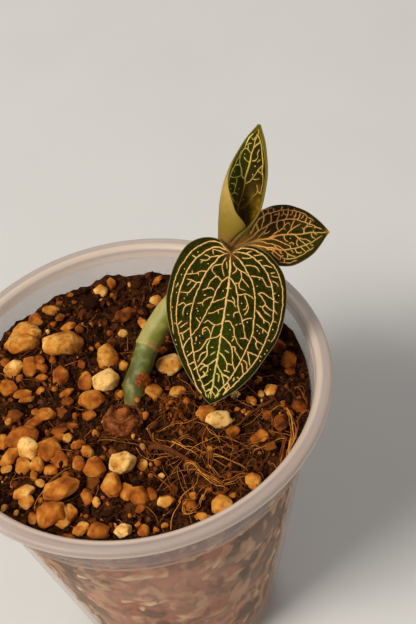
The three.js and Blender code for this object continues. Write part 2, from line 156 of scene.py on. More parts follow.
def modified(piece):  # the mesh that a piece's modifiers make of it
    bpy.context.view_layer.update()
    return bpy.data.meshes.new_from_object(piece.evaluated_get(bpy.context.evaluated_depsgraph_get()))


def gridFaces(rows, columns, start=0, wrap=False, flip=False):
    faces = []
    across = columns if wrap else columns - 1
    for row in range(rows - 1):
        for column in range(across):
            a = start + row * columns + column
            b = start + row * columns + (column + 1) % columns
            corners = (a, b, b + columns, a + columns)
            faces.append(corners[::-1] if flip else corners)
    return faces


def doubleFaced(upper, lower):  # closed faces for two equal grids, joined round their edge
    rows, columns = upper.shape[:2]
    count = rows * columns
    faces = gridFaces(rows, columns) + gridFaces(rows, columns, count, flip=True)
    ring = list(range(columns))
    ring += [r * columns + columns - 1 for r in range(1, rows)]
    ring += [(rows - 1) * columns + c for c in range(columns - 2, -1, -1)]
    ring += [r * columns for r in range(rows - 2, 0, -1)]
    for i, a in enumerate(ring):
        b = ring[(i + 1) % len(ring)]
        faces.append((b, a, a + count, b + count))
    return np.vstack([upper.reshape(-1, 3), lower.reshape(-1, 3)]), faces


def around(radius, turn):  # across and up for a radius and an angle
    return radius * math.cos(turn), radius * math.sin(turn)


def shifted(faces, start):  # the same faces, with their points numbered from start
    return [tuple(start + v for v in face) for face in faces]


def lathe(profile, segments):  # closed rings round the z axis; ends of radius 0 become one point
    points, rings, faces = [], [], []
    for radius, height in profile:
        if radius == 0:
            rings.append([len(points)])
            points.append((0, 0, height))
            continue
        rings.append(list(range(len(points), len(points) + segments)))
        for i in range(segments):
            turn = 2 * math.pi * i / segments
            points.append((*around(radius, turn), height))
    for below, above in zip(rings, rings[1:]):
        for i in range(segments):
            j = (i + 1) % segments
            if len(below) == 1:
                faces.append((below[0], above[j], above[i]))
            elif len(above) == 1:
                faces.append((below[i], below[j], above[0]))
            else:
                faces.append((below[i], below[j], above[j], above[i]))
    return points, faces


def tube(points, radii, sides, bulge=None):  # a closed bar along points
    points = np.asarray(points, float)
    ahead = np.gradient(points, axis=0)
    ahead /= np.linalg.norm(ahead, axis=1)[:, None]
    side = np.cross(ahead[0], [0.3, -0.2, 0.9])
    made = []
    for i, centre in enumerate(points):
        side = side - ahead[i] * side.dot(ahead[i])
        side /= np.linalg.norm(side)
        other = np.cross(ahead[i], side)
        for k in range(sides):
            turn = 2 * math.pi * k / sides
            reach = radii[i] * (1 if bulge is None else bulge(i, turn))
            made.append(centre + reach * (math.cos(turn) * side + math.sin(turn) * other))
    faces = gridFaces(len(points), sides, wrap=True)
    first, last = len(made), len(made) + 1
    made += [points[0], points[-1]]
    end = (len(points) - 1) * sides
    for k in range(sides):
        j = (k + 1) % sides
        faces.append((first, j, k))
        faces.append((last, end + k, end + j))
    return made, faces


# shader nodes

class Shade:  # a shader value that works in sums
    def __init__(self, paint, socket):
        self.paint = paint
        self.socket = socket

    def maths(self, kind, a, b):
        return self.paint.node("ShaderNodeMath", {"operation": kind}, {0: a, 1: b})

    def __add__(self, other):
        return self.maths("ADD", self, other)

    def __radd__(self, other):
        return self.maths("ADD", other, self)

    def __sub__(self, other):
        return self.maths("SUBTRACT", self, other)

    def __rsub__(self, other):
        return self.maths("SUBTRACT", other, self)

    def __mul__(self, other):
        return self.maths("MULTIPLY", self, other)

    def __rmul__(self, other):
        return self.maths("MULTIPLY", other, self)

    def __truediv__(self, other):
        return self.maths("DIVIDE", self, other)

    def __pow__(self, other):
        return self.maths("POWER", self, other)


class Paint:  # one material and its nodes
    def __init__(self, name):
        self.material = bpy.data.materials.new(name)
        self.material.use_nodes = True
        self.nodes = self.material.node_tree.nodes
        self.links = self.material.node_tree.links
        self.shader = self.nodes["Principled BSDF"]
        self.place = self.node("ShaderNodeTexCoord", output="Object")

    def node(self, kind, settings=None, values=None, output=0):
        made = self.nodes.new(kind)
        for key, value in (settings or {}).items():
            if key == "stops":
                self.setStops(made.color_ramp, value)
            else:
                setattr(made, key, value)
        for key, value in (values or {}).items():
            self.feed(made.inputs[key], value)
        return Shade(self, made.outputs[output])

    def setStops(self, ramp, stops):
        for _ in range(len(stops) - 2):
            ramp.elements.new(0.5)
        for element, (position, colour) in zip(ramp.elements, stops):
            element.position = position
            element.color = tint(*colour)

    def feed(self, socket, value):
        if isinstance(value, Shade):
            self.links.new(value.socket, socket)
        else:
            socket.default_value = value

    def finish(self, colour, roughness, shine, normal=None, cover=1.0):
        values = {"Base Color": colour, "Roughness": roughness, "Specular IOR Level": shine, "Alpha": cover}
        for key, value in values.items():
            self.feed(self.shader.inputs[key], value)
        if normal:
            self.feed(self.shader.inputs["Normal"], normal)
        return self.material

    def attribute(self, name):
        return self.node("ShaderNodeAttribute", {"attribute_name": name}, output="Fac")

    def axis(self, letter):
        return self.node("ShaderNodeSeparateXYZ", values={0: self.place}, output=letter)

    def radius(self):  # distance from the upright axis, in millimetres
        across, depth = self.axis("X"), self.axis("Y")
        return (across * across + depth * depth) ** 0.5 / mm

    def noise(self, size, detail, rough, stretch=None):  # size of its spots in millimetres
        where = self.place
        if stretch:
            where = self.node("ShaderNodeMapping", values={"Vector": where, "Scale": stretch})
        return self.noiseAt(where, 1 / (size * mm), detail, rough)

    def noiseAt(self, where, scale, detail, rough):
        values = {"Vector": where, "Scale": scale, "Detail": detail, "Roughness": rough}
        return self.node("ShaderNodeTexNoise", values=values)

    def cells(self, size):  # distance from the middle of cells of this size in millimetres
        values = {"Vector": self.place, "Scale": 1 / (size * mm)}
        return self.node("ShaderNodeTexVoronoi", values=values, output="Distance")

    def ease(self, value, low, high):
        settings = {"interpolation_type": "SMOOTHSTEP"}
        return self.node("ShaderNodeMapRange", settings, {0: value, 1: low, 2: high, 3: 0.0, 4: 1.0})

    def mix(self, mask, first, second):  # colours are shader values or usual 0-255 numbers
        first, second = [c if isinstance(c, Shade) else tint(*c) for c in (first, second)]
        return self.node("ShaderNodeMix", {"data_type": "RGBA"}, {0: mask, 6: first, 7: second}, 2)

    def over(self, base, colour, value, low, high, amount=1):  # paints where a value passes low to high
        mask = self.ease(value, low, high)
        return self.mix(mask if amount == 1 else mask * amount, base, colour)

    def ramp(self, value, stops):
        return self.node("ShaderNodeValToRGB", {"stops": stops}, {0: value})

    def bump(self, height, depth, strength):  # depth in millimetres
        values = {"Strength": strength, "Distance": depth * mm, "Height": height}
        return self.node("ShaderNodeBump", values=values)


def tint(red, green, blue):  # a colour from its usual 0-255 numbers
    def straight(v):
        v = v / 255
        return v / 12.92 if v < 0.04045 else ((v + 0.055) / 1.055) ** 2.4
    return (straight(red), straight(green), straight(blue), 1.0)


# geometry node trees

def newTree(name, inputs):  # an input is a name, and its kind after a colon where that differs
    tree = bpy.data.node_groups.new(name, "GeometryNodeTree")
    for words in inputs:
        label, kind = words.split(":") if ":" in words else (words, words)
        tree.interface.new_socket(label, in_out="INPUT", socket_type="NodeSocket" + kind)
    tree.interface.new_socket("Geometry", in_out="OUTPUT", socket_type="NodeSocketGeometry")
    tree.nodes.new("NodeGroupInput")
    tree.nodes.new("NodeGroupOutput")
    return tree


def treeNode(tree, kind, links, settings=None):
    made = tree.nodes.new(kind)
    for key, value in (settings or {}).items():
        setattr(made, key, value)
    for key, value in links.items():
        if isinstance(value, bpy.types.NodeSocket):
            tree.links.new(value, made.inputs[key])
        else:
            made.inputs[key].default_value = value
    return made


def named(tree, name, kind):
    return treeNode(tree, "GeometryNodeInputNamedAttribute", {"Name": name}, {"data_type": kind}).outputs[0]


def endTree(tree, geometry, material):
    real = treeNode(tree, "GeometryNodeRealizeInstances", {0: geometry}).outputs[0]
    dressed = treeNode(tree, "GeometryNodeSetMaterial", {0: real, 2: material}).outputs[0]
    tree.links.new(dressed, tree.nodes["Group Output"].inputs[0])


def makeTubeTree():  # lines become round strands of the thickness that their points carry
    tree = newTree("strandsAlongLines", ["Geometry", "Sides:Int", "Material"])
    given = tree.nodes["Group Input"].outputs
    lines = treeNode(tree, "GeometryNodeMeshToCurve", {0: given["Geometry"]}).outputs[0]
    ring = treeNode(tree, "GeometryNodeCurvePrimitiveCircle", {"Resolution": given["Sides"], "Radius": 1.0})
    thick = named(tree, "thick", "FLOAT")
    strands = treeNode(tree, "GeometryNodeCurveToMesh", {
        0: lines, 1: ring.outputs[0], 2: thick, 3: True}).outputs[0]
    soft = treeNode(tree, "GeometryNodeSetShadeSmooth", {0: strands}).outputs[0]
    endTree(tree, soft, given["Material"])
    return tree


def makeLumpTree():  # each point gets one of a set of shapes, turned and sized by what the point carries
    tree = newTree("lumpsOnPoints", ["Geometry", "Shapes:Collection", "Material"])
    given = tree.nodes["Group Input"].outputs
    shapes = treeNode(tree, "GeometryNodeCollectionInfo", {
        0: given["Shapes"], "Separate Children": True, "Reset Children": True}).outputs[0]
    turn = treeNode(tree, "FunctionNodeEulerToRotation", {0: named(tree, "turn", "FLOAT_VECTOR")}).outputs[0]
    lumps = treeNode(tree, "GeometryNodeInstanceOnPoints", {
        "Points": given["Geometry"], "Instance": shapes, "Pick Instance": True,
        "Instance Index": named(tree, "shape", "INT"), "Rotation": turn,
        "Scale": named(tree, "size", "FLOAT_VECTOR")}).outputs[0]
    endTree(tree, lumps, given["Material"])
    return tree


def grow(name, mesh, tree, values):  # runs a tree on a mesh and keeps the result as a plain piece
    holder = addObject(mesh.name, mesh)
    modifier = holder.modifiers.new("grow", "NODES")
    modifier.node_group = tree
    for item in tree.interface.items_tree:
        if item.item_type == "SOCKET" and item.in_out == "INPUT" and item.name in values:
            modifier[item.identifier] = values[item.name]
    grown = modified(holder)
    grown.name = name
    bpy.data.objects.remove(holder)
    bpy.data.meshes.remove(mesh)
    return addObject(name, grown)


tubeTree = makeTubeTree()
lumpTree = makeLumpTree()


def strands(name, lines, material, sides=8):  # lines are (points, radii, tones)
    points, edges, thick, tones = [], [], [], []
    for line, radii, tone in lines:
        start = len(points)
        points += metres(line)
        edges += [(start + i, start + i + 1) for i in range(len(line) - 1)]
        thick += [float(r) * mm for r in np.broadcast_to(radii, len(line))]
        tones += list(np.broadcast_to(tone, len(line)))
    mesh = bpy.data.meshes.new(name + "Lines")
    mesh.from_pydata(points, edges, [])
    giveLayer(mesh, "thick", thick)
    giveLayer(mesh, "tone", tones)
    piece = grow(name, mesh, tubeTree, {"Sides": sides, "Material": material})
    faceOut(piece)
    return piece


def lumpOutline(seed, corners, flat):  # a rounded block: the hull of pushed points on a ball
    draw = randomFrom(seed)
    made = bmesh.new()
    for i in range(corners):
        height = 1 - 2 * (i + 0.5) / corners
        turn = i * 2.39996 + draw() * 0.8
        reach = 0.8 + 0.4 * draw()
        ring = math.sqrt(1 - height * height)
        point = Vector((ring * math.cos(turn), ring * math.sin(turn), height * flat)) * reach * 0.5
        made.verts.new(point)
    bmesh.ops.convex_hull(made, input=made.verts)
    return made


def lumpSet(name, seed, corners, flat, rounds, cuts=1, soft=True):  # rounds of smoothing round the edges
    shapes = bpy.data.collections.new(name)
    bpy.context.scene.collection.children.link(shapes)
    for number in range(lumpShapes):
        made = lumpOutline(seed + number * 7, corners, flat)
        if rounds:
            edges = list(made.edges)
            bmesh.ops.bevel(made, geom=edges, offset=0.05, segments=2, affect="EDGES", profile=0.5)
            bmesh.ops.triangulate(made, faces=made.faces)
            if cuts:
                bmesh.ops.subdivide_edges(made, edges=made.edges, cuts=cuts)
            for _ in range(rounds):
                bmesh.ops.smooth_vert(made, verts=made.verts, factor=0.5, use_axis_x=True, use_axis_y=True,
                                      use_axis_z=True)
            for v in made.verts:
                pit = noise.fractal(v.co * 5 + Vector((number, 0, 0)), 0.8, 2.0, 3)
                v.co += v.co.normalized() * pit * 0.035
        bmesh.ops.recalc_face_normals(made, faces=made.faces)
        mesh = bpy.data.meshes.new(f"{name}{number:02d}")
        made.to_mesh(mesh)
        made.free()
        mesh.polygons.foreach_set("use_smooth", [soft] * len(mesh.polygons))
        shapes.objects.link(bpy.data.objects.new(mesh.name, mesh))
    return shapes


def lumps(name, items, shapes, material):  # items are (centre, size, turn, shape, tone)
    centres, sizes, turns, kinds, tones = zip(*items)
    mesh = bpy.data.meshes.new(name + "Points")
    mesh.from_pydata(metres(centres), [], [])
    giveLayer(mesh, "size", metres(sizes), "FLOAT_VECTOR")
    giveLayer(mesh, "turn", turns, "FLOAT_VECTOR")
    giveLayer(mesh, "shape", kinds, "INT")
    giveLayer(mesh, "tone", tones)
    return grow(name, mesh, lumpTree, {"Shapes": shapes, "Material": material})


def anyShape(draw):
    return int(draw() * lumpShapes)


def dropSet(shapes):
    for thing in list(shapes.objects):
        mesh = thing.data
        bpy.data.objects.remove(thing)
        bpy.data.meshes.remove(mesh)
    bpy.data.collections.remove(shapes)


def placeClosed(piece, slot, *nodes):
    faceOut(piece)
    place(piece, slot, *nodes)


def place(piece, slot, *nodes):
    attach(piece, "root")
    if nodes:
        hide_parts(*nodes)


# camera and light

view = {
    "centre": (0, -197.05, 313.21), "ahead": (0.0693, 0.6802, -0.7298), "right": (0.965, -0.2311, -0.1237),
    "up": (0.2528, 0.6957, 0.6724), "lens": 77.67, "sensor": 36,
}
# lamps: name, place in metres, size, power, colour
studio = {
    "lamps": [("key", (-0.72, -0.4, 1.04), 0.45, 17, (1.0, 0.93, 0.82)),
              ("fill", (0.99, -0.63, 0.57), 0.9, 2.6, (1.0, 0.95, 0.88)),
              ("back", (0.18, 1.08, 0.84), 0.72, 4.4, (1.0, 0.95, 0.88))],
    "aim": (0, 0, 0.08), "sky": (1.0, 0.96, 0.9, 1.0), "skyPower": 0.2,
    "floorRings": (0, 30, 120, 500, 2500), "floorHeight": -0.05,
    "floorTones": ((202, 204, 206), (210, 212, 214)),
}


def addCamera():
    camera = addObject("camera", bpy.data.cameras.new("camera"))
    camera.data.lens = view["lens"]
    camera.data.sensor_width = view["sensor"]
    camera.data.clip_start = 0.01
    axes = [Vector(view["right"]), Vector(view["up"]), -Vector(view["ahead"])]
    turned = Matrix([[axes[c][r] for c in range(3)] for r in range(3)]).to_4x4()
    camera.matrix_world = Matrix.Translation(Vector(view["centre"]) * mm) @ turned
    bpy.context.scene.camera = camera


def addLamp(name, at, size, power, colour):
    lamp = bpy.data.lights.new(name, "AREA")
    lamp.size = size
    lamp.energy = power
    lamp.color = colour
    holder = addObject(name, lamp)
    holder.location = at
    holder.rotation_euler = (Vector(studio["aim"]) - Vector(at)).to_track_quat("-Z", "Y").to_euler()


def addStudio():
    world = bpy.data.worlds.new("studio")
    world.use_nodes = True
    sky = world.node_tree.nodes["Background"].inputs
    sky[0].default_value = studio["sky"]
    sky[1].default_value = studio["skyPower"]
    bpy.context.scene.world = world
    for lamp in studio["lamps"]:
        addLamp(*lamp)
    paint = Paint("paperFloor")
    shade = paint.mix(paint.noise(60, 2, 0.55), *studio["floorTones"])
    points, faces = lathe([(radius, studio["floorHeight"]) for radius in studio["floorRings"]], 64)
    look = paint.finish(shade, 0.9, 0.5)
    newPiece("floor", points, [f[::-1] for f in faces], look)
    bpy.context.scene.view_settings.view_transform = "Standard"


addCamera()
addStudio()
print("camera, floor and light")


# pot

potSizes = {
    "segments": 288, "drainRadius": 2, "drainCircle": 15, "drainCount": 6,
    "outer": [(0, 0), (8, 0), (23.6, 0), (24.3, 0.18), (24.8, 0.66), (25, 1.4), (26, 6.4), (32, 36.6),
              (37.6, 64.8), (38.6, 70), (38.8, 71), (38.95, 71.3), (39.6, 71.6), (39.8, 72), (40.8, 78.1),
              (41.75, 83.9), (41.85, 84.3), (42.3, 84.35), (44.24, 84.3), (44.72, 84.5), (44.95, 84.8),
              (45, 85.06), (45, 85.6), (45, 86.24), (44.92, 86.6), (44.7, 86.85), (44.24, 87)],
    "inner": [(43.3, 86.96), (42.46, 87), (42.15, 86.93), (41.95, 86.8), (41.55, 86.4), (41.35, 86),
              (40.95, 84.3), (40, 78.5), (39.0, 72.5), (38.9, 72), (38.7, 71.7), (38.05, 71.35), (37.9, 71),
              (37, 66.4), (31.1, 36.6), (25.1, 7), (24.1, 2.9), (23.7, 1.9), (22.7, 1.5), (8, 1.5), (0, 1.5)],
}


def potMaterial():
    paint = Paint("milkyPlastic")
    height, radius = paint.axis("Z") / mm, paint.radius()
    haze = paint.noise(14, 3, 0.5)
    where = paint.node("ShaderNodeCombineXYZ", values={0: radius * 4, 1: height * 4, 2: haze * 3})
    hoops = paint.noiseAt(where, 1.0, 2.0, 0.5)
    rimZone = paint.ease(height, 83.9, 84.5)
    lip = paint.ease(height, 86.2, 86.6)
    # paler, more opaque lines along the rim's inner and outer edges: partly thicker plastic, partly a painted
    # highlight
    pale = lip * paint.ease(radius, 43.2, 42.6) + (1 - lip) * paint.ease(height, 86, 85.2)
    band = paint.ease(height, 71.8, 72.8)
    step = paint.ease(height, 70.4, 71.1) * (1 - paint.ease(height, 71.9, 72.6))  # the ledge below the rim, more opaque and painted pale: a painted highlight along the ledge
    wall = paint.mix(paint.ease(haze, 0.35, 0.65), (190, 152, 130), (220, 184, 160))
    wall = paint.mix(band, wall, paint.mix(hoops, (176, 158, 154), (206, 186, 178)))
    wall = paint.mix(step, wall, (226, 188, 152))
    rim = paint.mix(pale, paint.mix(hoops, (172, 156, 152), (196, 180, 174)), (216, 197, 182))
    colour = paint.mix(rimZone, wall, rim)
    cover = 0.11 + haze * 0.16 + hoops * 0.04 + band * 0.14
    cover = cover + rimZone * 0.26 + step * 0.4 + rimZone * pale * 0.1
    return paint.finish(colour, 0.34 + haze * 0.14, 0.35, paint.bump(hoops, 0.02, 0.3), cover)


def makePot():
    points, faces = lathe(potSizes["outer"] + potSizes["inner"], potSizes["segments"])
    pot = newPiece("potShell", points, faces, potMaterial())
    faceOut(pot)
    drills, thick = bmesh.new(), potSizes["drainRadius"] * mm
    for i in range(potSizes["drainCount"]):
        turn = (i + 0.5) * 2 * math.pi / potSizes["drainCount"]
        at = Matrix.Translation(Vector((*around(1, turn), 0.05)) * potSizes["drainCircle"] * mm)
        bmesh.ops.create_cone(drills, cap_ends=True, segments=40, radius1=thick, radius2=thick, depth=6 * mm,
                              matrix=at)
    mesh = bpy.data.meshes.new("drills")
    drills.to_mesh(mesh)
    drills.free()
    tool = addObject("drills", mesh)
    cut = pot.modifiers.new("drains", "BOOLEAN")
    cut.object = tool
    cut.operation = "DIFFERENCE"
    cut.solver = "EXACT"
    drilled = modified(pot)
    pot.modifiers.clear()
    pot.data = drilled
    bpy.data.objects.remove(tool)
    place(pot, "pot_plastic", "pot")


makePot()
print("pot")


# potting mix

mix = {
    "level": 80, "looseStones": 130, "stoneLift": 0.24, "chips": 30, "fibres": 12, "seed": 41,
    "side": [(0, 1.8), (10, 1.8), (22.3, 1.8), (22.8, 2.3), (23.3, 3.3), (24.5, 9), (30.2, 36.6),
             (36.2, 66.4), (37, 70.4), (38, 72.2), (38.7, 75.5), (39.6, 79)],
    "reach": 39.85, "rings": 120, "segments": 300, "crumbs": 3400, "chunks": 260, "hairs": 170, "tangle": 95,
    "pebbles": 520, "sideStones": 620, "fibreHeight": 80.9,
    # how far from the pot's axis each kind lies
    "spread": {
        "stones": 37, "chips": 35, "fibres": 26, "pebbles": 38, "chunks": 37.5, "crumbs": 38.6, "hairs": 36},
}
# x, y, width, length of the large stones, and how pale each is: 1 orange, 2 tan, 3 pale, 4 cream
bigStones = [
    (-22.2, 24.6, 7.6, 8, 2.4), (-21.2, 27.2, 8.2, 6.8, 3), (-13, 20.3, 8.8, 7.2, 2.6),
    (-15, 12, 4.4, 5, 1.5), (-3.6, 13.4, 5.2, 6, 2.2), (-5.2, 5.7, 5.7, 5.8, 3.9), (-9.3, 2.2, 6, 5, 2.3),
    (-12, 36, 4, 3.6, 1.3), (-14, 33, 4.4, 3.4, 1.6), (3, 26, 5.6, 4.2, 1.2), (11.1, 28.6, 3.2, 2.8, 2.6),
    (9.9, 6.2, 6.6, 5.6, 3.6), (4.6, -0.2, 4, 4.8, 2), (9.8, -1.5, 4, 3, 2.2), (-20, 2, 4.2, 5, 1.6),
    (-26.3, -3.2, 7.6, 6.4, 1.3), (-21, -9, 5, 5.8, 1.5), (-12, -17, 5, 5, 1.6), (-6, -18, 5.8, 6.6, 3.8),
    (-4, -27, 3.8, 5.2, 1.4), (1, -30, 3.8, 3.4, 3), (-20, -21, 8, 6.2, 1.8), (-28, -18, 5, 3.6, 2.8),
    (-23, -26, 7, 6, 1.3), (-14, -33, 5, 3.6, 1.7), (-9, -34, 3.8, 4.4, 3.4), (15, -10, 4.6, 4, 1.8),
    (17, -13, 6.4, 4.2, 3.8), (19, -17, 3.8, 3.2, 1.8), (20, -31, 3.4, 3.6, 2.4), (12, -34, 5, 4.2, 2.6),
    (35, 4, 3.6, 3.6, 1.2), (36, -2, 3.8, 4.2, 1.4),
]
smallStones = [
    (-18.1, 30.4, 3.6, 3.5, 2), (-10.6, 26.2, 3.6, 3.2, 1.3), (-25.2, 18.2, 4.7, 4.8, 2.8),
    (-21.6, 16.6, 2.9, 5.5, 1.6), (-18.9, 16.4, 2.3, 3.4, 1.2), (-16, 17.7, 1.8, 2.1, 1.2),
    (-9.8, 9.4, 3.5, 6.4, 1.7), (-9.8, 13.8, 1.7, 2.4, 1.2), (-27.4, 13.1, 3.5, 3.4, 1.8),
    (-24.3, 9.9, 4.6, 2, 1.8), (-14.6, 6.7, 3.4, 2, 1.4), (-30.6, -3.2, 2.4, 3.9, 2.2),
    (-25.4, -7, 5.2, 5, 3.3), (-29.6, -7.1, 5.5, 3.5, 2.3), (-27.1, -11, 3.4, 4, 2.2),
    (-31, -9.9, 2.7, 2.6, 2.4), (-24.1, -11.8, 3.3, 4, 2.2), (-19.5, -11, 3.4, 5.8, 1.6),
    (-21.3, -13.5, 3.4, 2.7, 2.1), (-18, -3.1, 3.4, 2.6, 1.6), (-16.5, -5.5, 2.3, 2.7, 2.6),
    (-12.7, -12.1, 2.5, 3, 2.2), (-15.1, -15.1, 3, 3.3, 1.5), (-1.8, -18.2, 2.3, 2.7, 2.8),
    (-9.3, -23.1, 4.3, 5, 1.8), (-6.6, -24.9, 3.2, 4.5, 1.7), (-15, -23.8, 2.8, 3.7, 1.6),
    (-13.2, -25.7, 1.9, 2.2, 3), (-24.2, -16.5, 1.9, 3.9, 2.6), (-27.8, -19.8, 3.9, 3.2, 2.6),
    (-21, -27.5, 3.8, 4.9, 2.9), (-27.1, -24.9, 2.4, 3.1, 1.9), (-17.4, -31, 3.8, 2.8, 2.9),
    (-30.3, -22.3, 1.2, 1.5, 2.2), (-32.8, -20, 1.6, 1.9, 2.4), (-1.1, 35.3, 2.8, 3.6, 2.6),
    (1.8, 36.9, 2.6, 2.6, 2), (12.8, 34.2, 3, 2.1, 1.6), (6.5, 22.4, 2.5, 3.5, 2.5),
    (1.3, 19.9, 2.7, 2.1, 2.4), (4.5, -1.6, 2.2, 2.6, 1.2), (-4.6, -30, 2.1, 2.5, 1.3),
    (-23.9, 26.1, 2.4, 2.8, 1.8), (-20.3, 9.9, 2.3, 2, 1.2), (-19.2, 28, 1.8, 2.1, 1.4),
    (-15.1, -9, 2.2, 1.9, 1.2), (-18.5, -16.7, 1.6, 1.5, 1), (-22.8, 0.6, 3.4, 2.6, 1.3),
    (22.2, -7, 2, 2.4, 3.2), (25.1, -9.1, 2.3, 3.3, 2), (30, -8.5, 2.8, 2.6, 3), (27.7, -8.1, 1.5, 1.7, 2.4),
    (29.5, -17.8, 3.3, 3.2, 1), (23.2, -20.9, 2.3, 2, 1.5), (7.5, -36.6, 2.6, 2.2, 2.2),
    (35, -13.9, 2.8, 3.9, 0.6), (35.5, -4.3, 2.3, 2.4, 1), (28, -3.8, 1.9, 2, 1.5),
    (23.5, -13.2, 1.7, 1.6, 1.4), (27.3, -15.3, 2.2, 2.6, 0.4), (8.4, -8.4, 2.8, 2.6, 0.5),
    (9, -37.1, 1.6, 1.8, 2), (14.9, -32.3, 1.6, 1.5, 1.4), (-27.3, 12, 3.8, 3.6, 1.4),
    (-23.9, 8.4, 3.8, 1.9, 2), (-19.4, 13.7, 2.9, 2.3, 1.4), (-15.6, 10.8, 2.6, 2.6, 2),
    (-14.8, 4.9, 2.8, 2.1, 1), (-22.1, 3.9, 2.2, 2.2, 1.4), (-10.7, -1.7, 2.8, 2.5, 1),
    (-15.5, -2.4, 4.1, 2, 0.8), (-18.6, -5, 3.2, 2.2, 1.5), (-14.3, -9.4, 2.8, 2.3, 1.3),
    (-1.4, -26.8, 2.2, 3.2, 0.8), (-19.6, -26.6, 3.6, 3.9, 2.4), (-17.6, -31.3, 3.8, 2.6, 2),
    (-20.6, -31.6, 2.9, 1.4, 1), (-24.2, 0.9, 2.8, 2, 1.2), (29.7, -8.4, 2.4, 2.5, 2),
    (21.4, -11.1, 1.2, 1, 1.5), (22.6, -12, 1.2, 1, 1.4), (24.5, -20.2, 3.2, 2.5, 1.3),
    (19.7, -32.2, 2, 2.5, 2), (12, -35, 3.2, 2.5, 2), (29.7, -18.7, 3.2, 3.2, 0.4), (6, -33.2, 2.3, 3, 0.3),
    (-19, 18.1, 2.4, 3.6, 1.4), (-26.9, 21, 2, 2.9, 1.6),
]
